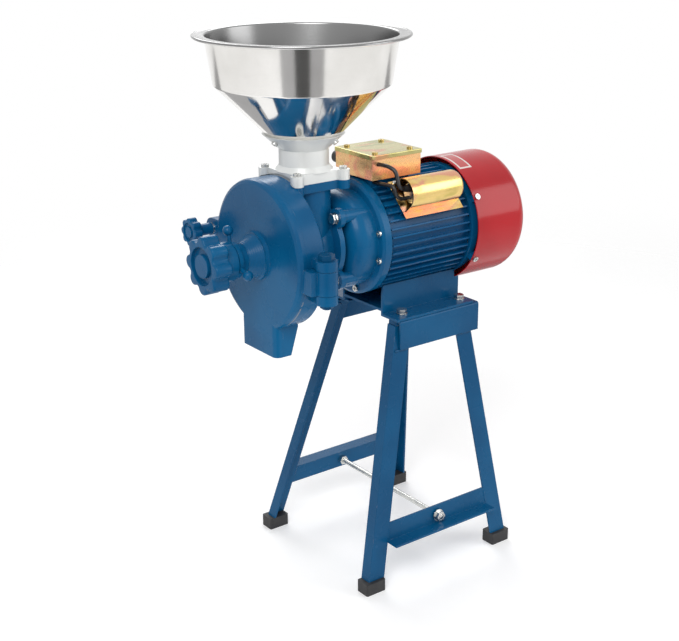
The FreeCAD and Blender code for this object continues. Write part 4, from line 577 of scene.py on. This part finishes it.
BLUE = Enamel("blue_casting", srgb(8, 92, 138), srgb(5, 78, 122), lump=0.00016, wear=0.45)
FINISHES: dict[str, Finish] = {
    finish.name: finish for finish in (
        BLUE,
        Enamel("blue_stand", srgb(7, 84, 128), srgb(5, 72, 114), lump=0.00003, lump_scale=60.0,
               wear=0.6),
        Enamel("blue_bolt", srgb(7, 84, 128), srgb(4, 66, 104), lump=0.00006, wear=0.7),
        StripEnamel("red_enamel", srgb(182, 22, 32), srgb(166, 16, 26), lump=0.00002,
                    lump_scale=40.0, wear=0.3, coat=0.25, ior=1.4, roughness=0.2),
        Enamel("silver_casting", srgb(232, 233, 231), srgb(214, 216, 215), lump=0.00018,
               wear=0.5, roughness=0.38, coat=0.1, metallic=0.35),
        Metal("bright_zinc", srgb(214, 214, 210), srgb(176, 178, 178), roughness=0.22),
        Metal("steel", srgb(188, 188, 186), srgb(150, 150, 150), grain=(0.05, 1.0, 1.0)),
        Metal("black_steel", srgb(52, 56, 62), srgb(34, 36, 40), roughness=0.4),
        Metal("capacitor_can", srgb(204, 205, 206), srgb(168, 170, 172), roughness=0.3,
              grain=(1.0, 0.05, 0.05)),
        Metal("disc_iron", srgb(120, 120, 122), srgb(88, 88, 90), roughness=0.48,
              depth=0.00009),
        Metal("cast_carrier", srgb(104, 104, 108), srgb(74, 74, 78), roughness=0.55,
              depth=0.00016),
        Metal("bronze", srgb(196, 150, 84), srgb(150, 108, 58), roughness=0.3,
              grain=(0.05, 1.0, 1.0)),
        Metal("yellow_zinc_screw", srgb(222, 202, 140), srgb(186, 160, 98), roughness=0.25),
        Passivate("yellow_zinc", srgb(240, 168, 120), srgb(220, 146, 102), metallic=0.7,
                  roughness=0.28, depth=0.00001),
        SpunSteel("stainless", srgb(240, 238, 235), srgb(224, 222, 218), roughness=0.06,
                  depth=0.000003),
        Ridged("lamination", srgb(132, 134, 138), srgb(70, 72, 76), roughness=0.4),
        Ridged("copper_winding", srgb(196, 110, 58), srgb(104, 48, 22), roughness=0.32,
               pitch=0.0010, across=True),
        Moulded("foot_rubber", srgb(34, 34, 36), srgb(78, 76, 74), roughness=0.6),
        Moulded("seal_rubber", srgb(30, 30, 30), srgb(50, 48, 46)),
        Moulded("lead_rubber", srgb(26, 26, 28), srgb(52, 50, 50), roughness=0.42, coat=0.15),
        Moulded("black_plastic", srgb(28, 28, 30), srgb(54, 54, 56), roughness=0.45),
        Moulded("rocker_plastic", srgb(36, 36, 38), srgb(60, 60, 60), roughness=0.28, coat=0.3),
    )
}
NODE_FINISHES: dict[str, Finish] = {
    "front_cover": CoverEnamel("cover_enamel", BLUE.lit, BLUE.shade, lump=BLUE.lump, wear=0.5),
    "motor_frame": Enamel("blue_frame", srgb(4, 88, 136), srgb(3, 74, 120), lump=0.00005,
                          wear=0.35),
    "post_bolts": Metal("post_zinc", srgb(206, 206, 202), srgb(166, 168, 168), roughness=0.24),
    "terminal_box_lid": Passivate(
        "lid_zinc", srgb(170, 160, 100), srgb(146, 132, 84), roughness=0.2, depth=0.00001,
        rose=srgb(196, 138, 104), green=srgb(150, 156, 100), straw=srgb(186, 178, 124)),
    "capacitor_cover": Passivate(
        "cap_zinc", srgb(214, 170, 102), srgb(184, 140, 84), roughness=0.25, depth=0.00001,
        rose=srgb(216, 152, 130), green=srgb(186, 170, 96), straw=srgb(226, 196, 126)),
}


# Surfaces


def rounded_line(corners: Sequence[tuple[float, float, float]], steps: int = 6) -> np.ndarray:
    """A flat line through corners, each inner one replaced by an arc.

    Args:
        corners: (along, out, radius) of each corner; a radius of 0 keeps it sharp.
        steps: How many pieces an arc has.

    Returns:
        The line's points, with one more just outside each end of an arc.
    """
    spots = np.array([corner[:2] for corner in corners], float)
    runs = [spots[:1]]
    for before, here, after, corner in zip(spots, spots[1:], spots[2:], corners[1:]):
        radius = corner[2]
        if radius <= 0.0:
            runs.append(here[None])
            continue
        into = (before - here) / np.linalg.norm(before - here)
        out = (after - here) / np.linalg.norm(after - here)
        half = 0.5 * math.acos(float(np.clip(into @ out, -1.0, 1.0)))
        middle = here + (into + out) / np.linalg.norm(into + out) * (radius / math.sin(half))
        start = here + into * (radius / math.tan(half))
        end = here + out * (radius / math.tan(half))
        sweep = math.pi - 2.0 * half
        share = np.linspace(0.0, 1.0, steps + 1)[:, None]
        from_start = np.sin((1.0 - share) * sweep) * (start - middle)
        from_end = np.sin(share * sweep) * (end - middle)
        runs += [(start + into * radius * ARC_EASE)[None],
                 middle + (from_start + from_end) / math.sin(sweep),
                 (end + out * radius * ARC_EASE)[None]]
    runs.append(spots[-1:])
    return np.concatenate(runs)


def turned(along: np.ndarray, radius: np.ndarray, axis: Axis, y: float = 0.0, z: float = AXIS_Z,
           columns: int = 192) -> np.ndarray:
    """A grid of points about an axis.

    A point is at its row's place along the axis, and at the radius times the cosine and the
    sine of its column's angle from it.

    Args:
        along: Each row's place along the axis, in metres.
        radius: The radius of each row, or of each row and column.
        axis: The axis.
        y: The axis's place across, for a line along X.
        z: The axis's height, for a line along X.
        columns: How many points go round.

    Returns:
        The points as rows, columns and 3.
    """
    angle = np.linspace(0.0, TURN, columns, endpoint=False)[None, :]
    reach = radius.reshape(len(along), -1) + 0.0 * angle
    level = along[:, None] + 0.0 * angle
    if axis is Axis.MOTOR:
        return np.stack((level, y + reach * np.cos(angle), z + reach * np.sin(angle)), axis=-1)
    return np.stack((FEED_X + reach * np.cos(angle), reach * np.sin(angle), level), axis=-1)


def quads(points: np.ndarray, ring: bool) -> np.ndarray:
    """The faces of a grid whose columns close on themselves, turned so that they face outwards.

    Args:
        points: The grid.
        ring: Whether its rows close on themselves too.

    Returns:
        Four indices to a face.
    """
    rows, columns = points.shape[:2]
    index = np.arange(rows * columns).reshape(rows, columns)
    upper = np.roll(index, -1, axis=0)
    lower, upper = (index, upper) if ring else (index[:-1], upper[:-1])
    corners = (lower, np.roll(lower, -1, 1), np.roll(upper, -1, 1), upper)
    faces = np.stack(corners, axis=-1).reshape(-1, 4)
    a, b, c, d = (points.reshape(-1, 3)[faces[:, k]] for k in range(4))
    held = np.einsum("ij,ij->", a, np.cross(b, c)) + np.einsum("ij,ij->", a, np.cross(c, d))
    return faces if held > 0.0 else faces[:, ::-1]


@dataclass(frozen=True)
class Label:
    """What a new piece is called, rides on, takes its finish from, and stands for."""

    name: str
    body: Body
    slot: str
    stands_for: tuple[str, ...] = ()


def make_piece(label: Label, grids: Sequence[np.ndarray], ring: bool = False) -> bpy.types.Object:
    """A smooth piece of one or more grids, finished and set on its body.

    Args:
        label: Its name, body, slot and the CAD nodes that it stands for.
        grids: Its grids of points.
        ring: Whether their rows close on themselves.

    Returns:
        The new object.
    """
    starts = np.cumsum([0] + [grid.shape[0] * grid.shape[1] for grid in grids])
    faces = np.concatenate([quads(grid, ring) + start for grid, start in zip(grids, starts)])
    points = np.concatenate([grid.reshape(-1, 3) for grid in grids])
    mesh = bpy.data.meshes.new(label.name)
    mesh.from_pydata(points.tolist(), [], faces.tolist())
    mesh.shade_smooth()
    piece = bpy.data.objects.new(label.name, mesh)
    bpy.context.scene.collection.objects.link(piece)
    mesh.materials.append(FINISHES[label.slot].material())
    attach(piece, label.body.value)
    if label.stands_for:
        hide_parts(*label.stands_for)
    LOG.info("made %s: %d faces on %s", label.name, len(faces), label.body.value)
    return piece


def dress_nodes(names: Sequence[str]) -> None:
    """Gives each named CAD node the finish of its slot, or its own."""
    slots = {part["node"]: part["material_slot"] for part in frame["record"]["subparts"]}
    for name in names:
        finish = NODE_FINISHES.get(name, FINISHES[slots[name]])
        node = frame["nodes"][name]
        if not node.material_slots:
            node.data.materials.append(finish.material())
        for place in node.material_slots:
            place.material = finish.material()
        LOG.info("dressed %s in %s", name, finish.name)


# Sub-assemblies


@dataclass(frozen=True)
class Hopper:
    """The spun hopper in its feed neck."""

    outlet_r: float = 31.0
    outlet_z: float = 635.85
    seat_r: float = 51.95
    seat_z: float = 652.0
    cone_r: float = 119.0
    cone_z: float = 718.0
    band_r: float = 129.0
    rim_r: float = 145.0
    rim_z: float = 783.0
    wall: float = 1.2
    seat_round: float = 1.0
    cone_round: float = 4.0
    band_round: float = 2.0
    mouth_round: float = 2.6
    cone_lift: float = 0.3
    seat_lift: float = 0.5
    bead_r: float = 2.0
    bead_in: float = 4.2
    bead_turn: tuple[float, float] = (-2.5, 1.9)
    bead_rows: int = 14

    def profile(self) -> np.ndarray:
        """The closed section as (height, radius) in millimetres.

        It goes up the outside, over the bead and down the inside. The lifts raise the inside's
        corners by a share of the wall.
        """
        under = self.rim_z - self.wall
        turn = np.linspace(*self.bead_turn, self.bead_rows)
        bead = np.stack((under + self.bead_r * np.sin(turn),
                         self.rim_r - self.bead_r + self.bead_r * np.cos(turn)), 1)
        bead_foot = self.rim_r - self.bead_in
        outside = rounded_line([
            (self.outlet_z, self.outlet_r, 0.0), (self.seat_z, self.seat_r, self.seat_round),
            (self.cone_z, self.cone_r, self.cone_round), (under, self.band_r, self.band_round),
            (under, bead_foot, 0.0)])
        inside = rounded_line([
            (self.rim_z, bead_foot, 0.0), (self.rim_z, self.band_r - self.wall, self.mouth_round),
            (self.cone_z + self.wall * self.cone_lift, self.cone_r - self.wall, self.cone_round),
            (self.seat_z + self.wall * self.seat_lift, self.seat_r - self.wall, self.seat_round),
            (self.outlet_z + self.wall * self.seat_lift, self.outlet_r - self.wall, 0.0)])
        return np.concatenate((outside, bead, inside))

    def build(self) -> None:
        """Turns the hopper's section about the feed axis, and dresses the neck and the screws."""
        section = self.profile() * MM
        grid = turned(section[:, 0], section[:, 1], Axis.FEED, columns=256)
        make_piece(Label("hopper_shell", Body.BASE, "stainless", ("hopper",)), [grid], ring=True)
        dress_nodes(["hopper", "feed_neck", "neck_screws", "hopper_screws"])


@dataclass(frozen=True)
class HandWheel:
    """A star-shaped hand wheel with a hub, and a stud or a bore behind it."""

    label: Label
    face_x: float
    back_x: float
    hub_r: float
    hub_x: float
    tip_r: float
    lobe_r: float
    valley_r: float
    edge_r: float
    button_r: float
    recess_r: float
    recess_deep: float
    tail: tuple[tuple[float, float], ...]
    lobes: int = 8
    y: float = 0.0
    z: float = AXIS_Z / MM
    soft: float = 0.7
    foot_out: float = 2.5
    foot_round: float = 1.2
    end_round: float = 0.6
    edge_rows: int = 7

    def star(self, columns: int) -> np.ndarray:
        """The outline's radius at each column.

        Round lobes stand on a ring and round valleys on a wider one, each arc tangent to the
        next; a ray from the centre meets a lobe's far side, or a valley's near side.
        """
        step = math.pi / self.lobes
        ring = self.tip_r - self.lobe_r
        reach = self.lobe_r + self.valley_r
        wide = ring * math.cos(step) + math.sqrt(reach ** 2 - (ring * math.sin(step)) ** 2)
        share = self.lobe_r / reach
        meet_x = ring + (wide * math.cos(step) - ring) * share
        meet = math.atan2(wide * math.sin(step) * share, meet_x)
        angle = np.linspace(0.0, TURN, columns, endpoint=False)
        from_lobe = (angle + step) % (2.0 * step) - step
        from_valley = angle % (2.0 * step) - step
        lobe = ring * np.cos(from_lobe) + np.sqrt(
            np.maximum(self.lobe_r ** 2 - (ring * np.sin(from_lobe)) ** 2, 0.0))
        valley = wide * np.cos(from_valley) - np.sqrt(
            np.maximum(self.valley_r ** 2 - (wide * np.sin(from_valley)) ** 2, 0.0))
        return np.where(np.abs(from_lobe) < meet, lobe, valley)

    def build(self, columns: int = 256) -> None:
        """One surface from the face's middle, round the star and along the hub to the tail."""
        floor_x = self.face_x + self.recess_deep
        front = rounded_line([
            (self.face_x, AXIS_R, 0.0), (self.face_x, self.button_r, self.soft),
            (floor_x, self.button_r, self.soft), (floor_x, self.recess_r, self.soft),
            (self.face_x, self.recess_r, self.soft),
            (self.face_x, self.recess_r + 2.0 * self.soft, 0.0)])
        turn = np.linspace(0.0, math.pi / 2.0, self.edge_rows)
        inset = self.edge_r * (1.0 - np.sin(turn))
        round_x = self.edge_r * (1.0 - np.cos(turn))
        rim_x = np.concatenate((self.face_x + round_x, (self.back_x - round_x)[::-1]))
        rim_inset = np.concatenate((inset, inset[::-1]))
        back = rounded_line([
            (self.back_x, self.hub_r + self.foot_out, 0.0),
            (self.back_x, self.hub_r, self.foot_round), (self.hub_x, self.hub_r, self.end_round),
            *((x, r, 0.0) for x, r in self.tail)])
        star = self.star(columns)[None, :]
        radius = np.concatenate((front[:, 1:] + 0.0 * star, star - rim_inset[:, None],
                                 back[:, 1:] + 0.0 * star))
        along = np.concatenate((front[:, 0], rim_x, back[:, 0]))
        grid = turned(along * MM, radius * MM, Axis.MOTOR, self.y * MM, self.z * MM, columns)
        make_piece(self.label, [grid])


@dataclass(frozen=True)
class Stand:
    """The angle-steel stand: its welds, its tie rod's thread and its finishes."""

    rail_y: float = 79.0
    rail_foot_z: float = 339.0
    rail_top_z: float = 382.0
    splay: float = 54.0
    leg_half: float = 14.0
    leg_tops: tuple[tuple[float, float], ...] = ((33.0, -98.0), (138.0, 42.0))
    crossbar_z: tuple[float, float] = (66.0, 94.0)
    rod_x: float = 62.0
    rod_z: float = 80.0
    rod_r: float = 4.0
    rod_half: float = 130.25
    rod_end_r: float = 0.01
    rod_columns: int = 20
    chamfer: float = 1.0
    thread_pitch: float = 1.25
    thread_deep: float = 0.12
    thread_rows: float = 8.0
    bead_r: float = 1.9
    bead_rows: int = 56
    bead_columns: int = 14
    bead_least: float = 0.9
    bead_swell: float = 0.16
    bead_ripples: float = 13.0
    bead_blunt: int = 12
    bead_end: float = 0.002
    bead_flat: float = 0.55
    rail_bead_out: float = 0.7
    rail_bead_drop: float = 0.6
    rail_bead_inset: float = 2.0
    bar_bead_in: float = 0.2
    bar_bead_inset: float = 5.0

    def face_y(self, z: float) -> float:
        """How far out a leg's outer face stands at a height."""
        return self.rail_y + self.splay * (self.rail_foot_z - z) / self.rail_foot_z

    def leg_x(self, top: float, lean: float, z: float) -> float:
        """A leg's middle at a height."""
        return top + lean * (self.rail_top_z - z) / self.rail_top_z

    def bead(self, start: Sequence[float], end: Sequence[float]) -> np.ndarray:
        """A weld bead between two places, as rows along it and columns round it.

        Its radius swells with the absolute sine of the place along it. It closes at both ends
        as the square root of 1 less a high power of the distance from the middle.
        """
        first, last = np.array(start), np.array(end)
        along = (last - first) / np.linalg.norm(last - first)
        side = np.cross(along, (0.0, 1.0, 0.0))
        side = side / np.linalg.norm(side)
        other = np.cross(along, side)
        share = np.linspace(0.0, 1.0, self.bead_rows)
        swell = np.abs(np.sin(share * math.pi * self.bead_ripples))
        ripple = self.bead_least + self.bead_swell * swell
        from_middle = np.abs(2.0 * share - 1.0) ** self.bead_blunt
        closed = np.sqrt(np.clip(1.0 - from_middle, 0.0, 1.0)) + self.bead_end
        radius = (self.bead_r * ripple * closed)[:, None, None]
        angle = np.linspace(0.0, TURN, self.bead_columns, endpoint=False)[None, :, None]
        spine = first + share[:, None, None] * (last - first)
        return spine + radius * (np.cos(angle) * side + np.sin(angle) * other * self.bead_flat)

    def build(self) -> None:
        """Adds the weld beads and the threaded rod, and dresses the stand."""
        beads = []
        low, high = self.crossbar_z
        half = self.leg_half - self.rail_bead_inset
        for side in (-1.0, 1.0):
            for (top, lean), inward in zip(self.leg_tops, (1.0, -1.0)):
                x = self.leg_x(top, lean, self.rail_foot_z)
                y = side * (self.rail_y + self.rail_bead_out)
                z = self.rail_foot_z - self.rail_bead_drop
                beads.append(self.bead((x - half, y, z), (x + half, y, z)))
                ends = [(self.leg_x(top, lean, level) + inward * self.leg_half,
                         side * (self.face_y(level) - self.bar_bead_in), level)
                        for level in (low + self.bar_bead_inset, high - self.bar_bead_inset)]
                beads.append(self.bead(*ends))
        make_piece(Label("weld_beads", Body.BASE, "blue_stand"), [bead * MM for bead in beads])
        make_piece(Label("threaded_rod", Body.BASE, "bright_zinc", ("tie_rod",)), [self.rod() * MM])
        dress_nodes(["near_rail", "far_rail", "front_near_leg", "rear_near_leg", "front_far_leg",
                     "rear_far_leg", "near_crossbar", "far_crossbar", "tie_rod", "tie_rod_nuts",
                     "rubber_feet", "motor_saddle", "foot_bolts"])

    def rod(self) -> np.ndarray:
        """The tie rod's grid.

        Its radius follows the cosine of the place along it plus the angle round it, and is cut
        to a cone at both ends.
        """
        rows = int(2.0 * self.rod_half / self.thread_pitch * self.thread_rows)
        along = np.linspace(-self.rod_half, self.rod_half, rows)[:, None]
        angle = np.linspace(0.0, TURN, self.rod_columns, endpoint=False)[None, :]
        phase = along * (TURN / self.thread_pitch) + angle
        taper = np.clip(self.rod_half - np.abs(along), 0.0, self.chamfer)
        radius = self.rod_r - self.thread_deep * (0.5 - 0.5 * np.cos(phase))
        cone = np.minimum(radius, self.rod_r - self.chamfer + taper)
        radius = np.where(taper <= 0.0, self.rod_end_r, cone)
        return np.stack((self.rod_x + radius * np.cos(angle), along + 0.0 * angle,
                         self.rod_z + radius * np.sin(angle)), axis=-1)


@dataclass(frozen=True)
class Motor:
    """The motor, its fan cover and its electrical fittings."""

    frame_nodes: tuple[str, ...] = (
        "motor_frame", "front_shield", "rear_shield", "shield_screws", "fan_cover",
        "fan_cover_screws", "bearings", "stator_core", "stator_windings", "motor_shaft",
        "rotor_core", "cooling_fan", "coupling")
    box_nodes: tuple[str, ...] = (
        "terminal_box", "terminal_box_lid", "lid_screws", "cable_gland", "switch_housing",
        "switch_rocker", "capacitor", "capacitor_cover", "capacitor_cover_screws", "box_lead",
        "motor_lead", "lead_boot")

    def build(self) -> None:
        """Dresses the frame, the turning parts and the fittings."""
        dress_nodes(self.frame_nodes + self.box_nodes)


@dataclass(frozen=True)
class Grinder:
    """The grinding head: castings, discs, auger, cover and its two hand wheels."""

    nodes: tuple[str, ...] = (
        "grinder_body", "fixed_disc", "disc_bolts", "shaft_seal", "post_bolts", "hinge_pin",
        "auger", "auger_spring", "disc_carrier", "rotating_disc", "thrust_ball", "front_cover",
        "thrust_pad", "adjusting_screw", "adjusting_knob", "lock_nut", "clamp_washer",
        "clamp_knob")
    knob: HandWheel = HandWheel(
        Label("adjusting_wheel", Body.SCREW, "blue_casting", ("adjusting_knob",)),
        face_x=-253.0, back_x=-228.0, hub_r=27.0, hub_x=-210.0, tip_r=40.0, lobe_r=9.0,
        valley_r=7.0, edge_r=3.0, button_r=16.0, recess_r=26.0, recess_deep=6.0,
        tail=((-210.0, 12.05), (-243.0, 12.05), (-243.0, AXIS_R)))
    clamp: HandWheel = HandWheel(
        Label("clamp_wheel", Body.CLAMP, "blue_casting", ("clamp_knob",)),
        face_x=-202.6, back_x=-189.6, hub_r=8.5, hub_x=-165.66, tip_r=20.0, lobe_r=5.2,
        valley_r=3.6, edge_r=1.6, button_r=8.0, recess_r=13.2, recess_deep=3.0,
        tail=((-165.66, 4.0), (-143.0, 4.0), (-143.0, AXIS_R)), y=118.0, z=507.0)

    def build(self) -> None:
        """Makes the hand wheels and dresses the castings and what they hold."""
        self.knob.build()
        self.clamp.build()
        dress_nodes(self.nodes)


@dataclass(frozen=True)
class Studio:
    """The pale floor, the soft light, dark sheets for painted reflections, and the camera."""

    floor_r: float = 2.6
    floor_middle: float = 0.004
    floor_rings: int = 24
    floor_columns: int = 97
    floor_tone: Colour = (0.9, 0.9, 0.9, 1.0)
    fade: tuple[float, float] = (0.7, 2.3)
    # Dark sheets seen only in glossy reflections, which paint dark reflections: middle and half
    # width in degrees, height in metres, tone.
    cards: tuple[tuple[float, float, float, float], ...] = (
        (235.0, 9.0, 0.030, 0.01), (235.0, 26.0, 0.024, 0.36),
        (94.0, 14.0, 0.018, 0.4), (16.0, 14.0, 0.018, 0.4))
    card_reach: tuple[float, float] = (0.45, 3.0)
    card_rows: int = 7
    card_columns: int = 13
    card_blue: float = 1.02
    lamps: tuple[tuple[str, tuple[float, float, float], float, float], ...] = (
        ("key", (-1.5, -1.3, 2.1), 1.5, 36.0), ("side", (1.7, -1.5, 1.3), 1.6, 16.0),
        ("back", (0.7, 1.7, 1.9), 1.4, 22.0))
    lamp_aim: tuple[float, float, float] = (0.0, 0.0, 0.42)
    fill: float = 0.45
    eye: tuple[float, float, float] = (-1.04865, -1.37043, 0.97804)
    yaw: float = 36.69
    pitch: float = -19.54
    roll: float = -0.34
    lens: float = 66.66
    sensor: float = 36.0

    def stage_piece(self, name: str, grid: np.ndarray, finish: Finish) -> bpy.types.Object:
        """An open grid that isn't part of the mill.

        Args:
            name: The object's name.
            grid: Its points as rows, columns and 3.
            finish: Its material.

        Returns:
            The new object.
        """
        index = np.arange(grid.shape[0] * grid.shape[1]).reshape(grid.shape[:2])
        faces = np.stack((index[:-1, :-1], index[1:, :-1], index[1:, 1:], index[:-1, 1:]), -1)
        mesh = bpy.data.meshes.new(name)
        mesh.from_pydata(grid.reshape(-1, 3).tolist(), [], faces.reshape(-1, 4).tolist())
        mesh.shade_smooth()
        piece = bpy.data.objects.new(name, mesh)
        bpy.context.scene.collection.objects.link(piece)
        mesh.materials.append(finish.material())
        return piece

    def floor(self) -> None:
        """A round floor whose rings widen with the square of their count."""
        rings = np.linspace(self.floor_middle, 1.0, self.floor_rings) ** 2
        reach = rings[:, None] * self.floor_r
        angle = np.linspace(0.0, TURN, self.floor_columns)[None, :]
        grid = np.stack((reach * np.cos(angle), reach * np.sin(angle), 0.0 * reach * angle), -1)
        self.stage_piece("floor", grid, StagePaint("floor_paint", self.floor_tone, self.fade))

    def dark_reflections(self) -> None:
        """Sectors of dark sheet just over the floor, which only glossy surfaces see: painted dark
        reflections, such as the dark streak on the hopper's band.

        They lie about the feed axis; each has a middle and a half width in degrees, a height in
        metres and a tone.
        """
        for count, (middle, half, level, tone) in enumerate(self.cards):
            turn = np.linspace(middle - half, middle + half, self.card_columns)
            angle = np.radians(turn)[None, :]
            reach = np.linspace(*self.card_reach, self.card_rows)[:, None]
            grid = np.stack((FEED_X + reach * np.cos(angle), reach * np.sin(angle),
                             level + 0.0 * reach * angle), -1)
            painted_reflection = StagePaint(f"cloth_{count}", (tone, tone, tone * self.card_blue, 1.0), None)
            card = self.stage_piece(f"reflection_sheet_{count}", grid, painted_reflection)
            # Only glossy rays see the sheet: it paints a dark reflection and nothing else.
            card.visible_camera = False
            card.visible_diffuse = False
            card.visible_shadow = False
            card.visible_transmission = False

    def lights(self) -> None:
        """Three soft area lights: a key from the upper left, others from the right and behind."""
        for name, place, size, power in self.lamps:
            light = bpy.data.lights.new(name, "AREA")
            light.shape = "DISK"
            light.size = size
            light.energy = power
            lamp = bpy.data.objects.new(name, light)
            lamp.location = place
            aim = Vector(self.lamp_aim) - Vector(place)
            lamp.rotation_euler = aim.to_track_quat("-Z", "Y").to_euler()
            bpy.context.scene.collection.objects.link(lamp)

    def backdrop(self) -> None:
        """White where a camera, glossy or transmission ray sees it; a softer light for the rest."""
        world = bpy.data.worlds.new("studio")
        bpy.context.scene.world = world
        world.use_nodes = True
        graph = Graph(world.node_tree)
        path = graph.node("ShaderNodeLightPath", output="Is Camera Ray")
        seen = path.math("MAXIMUM", path.part("Is Glossy Ray"))
        seen = seen.math("MAXIMUM", path.part("Is Transmission Ray"))
        soft, white = (
            graph.node("ShaderNodeBackground", {}, {"Color": WHITE, "Strength": strength})
            for strength in (self.fill, 1.0))
        both = graph.node("ShaderNodeMixShader", {}, {0: seen, 1: soft, 2: white})
        graph.show(both, "ShaderNodeOutputWorld")

    def camera(self) -> None:
        """The camera where the photograph was taken from, solved from it."""
        yaw, pitch, roll = (math.radians(value) for value in (self.yaw, self.pitch, self.roll))
        ahead = Vector((math.sin(yaw) * math.cos(pitch), math.cos(yaw) * math.cos(pitch),
                        math.sin(pitch)))
        level = Vector((math.cos(yaw), -math.sin(yaw), 0.0))
        above = level.cross(ahead)
        right = level * math.cos(roll) + above * math.sin(roll)
        up = above * math.cos(roll) - level * math.sin(roll)
        data = bpy.data.cameras.new("camera")
        data.lens = self.lens
        data.sensor_width = self.sensor
        camera = bpy.data.objects.new("camera", data)
        turn = Matrix((right, up, -ahead)).transposed().to_4x4()
        camera.matrix_world = Matrix.Translation(self.eye) @ turn
        bpy.context.scene.collection.objects.link(camera)
        bpy.context.scene.camera = camera

    def build(self) -> None:
        """Sets the floor, the dark sheets of painted reflections, the lights, the backdrop and the
        camera.
        """
        self.floor()
        self.dark_reflections()
        self.lights()
        self.backdrop()
        self.camera()
        bpy.context.scene.view_settings.view_transform = "Standard"


def main() -> None:
    """Builds every sub-assembly in order, then the studio."""
    logging.basicConfig(level=logging.INFO, format="%(name)s %(message)s")
    for part in (Stand(), Motor(), Grinder(), Hopper(), Studio()):
        part.build()
        LOG.info("finished %s", type(part).__name__)


if __name__ == "__main__":
    main()
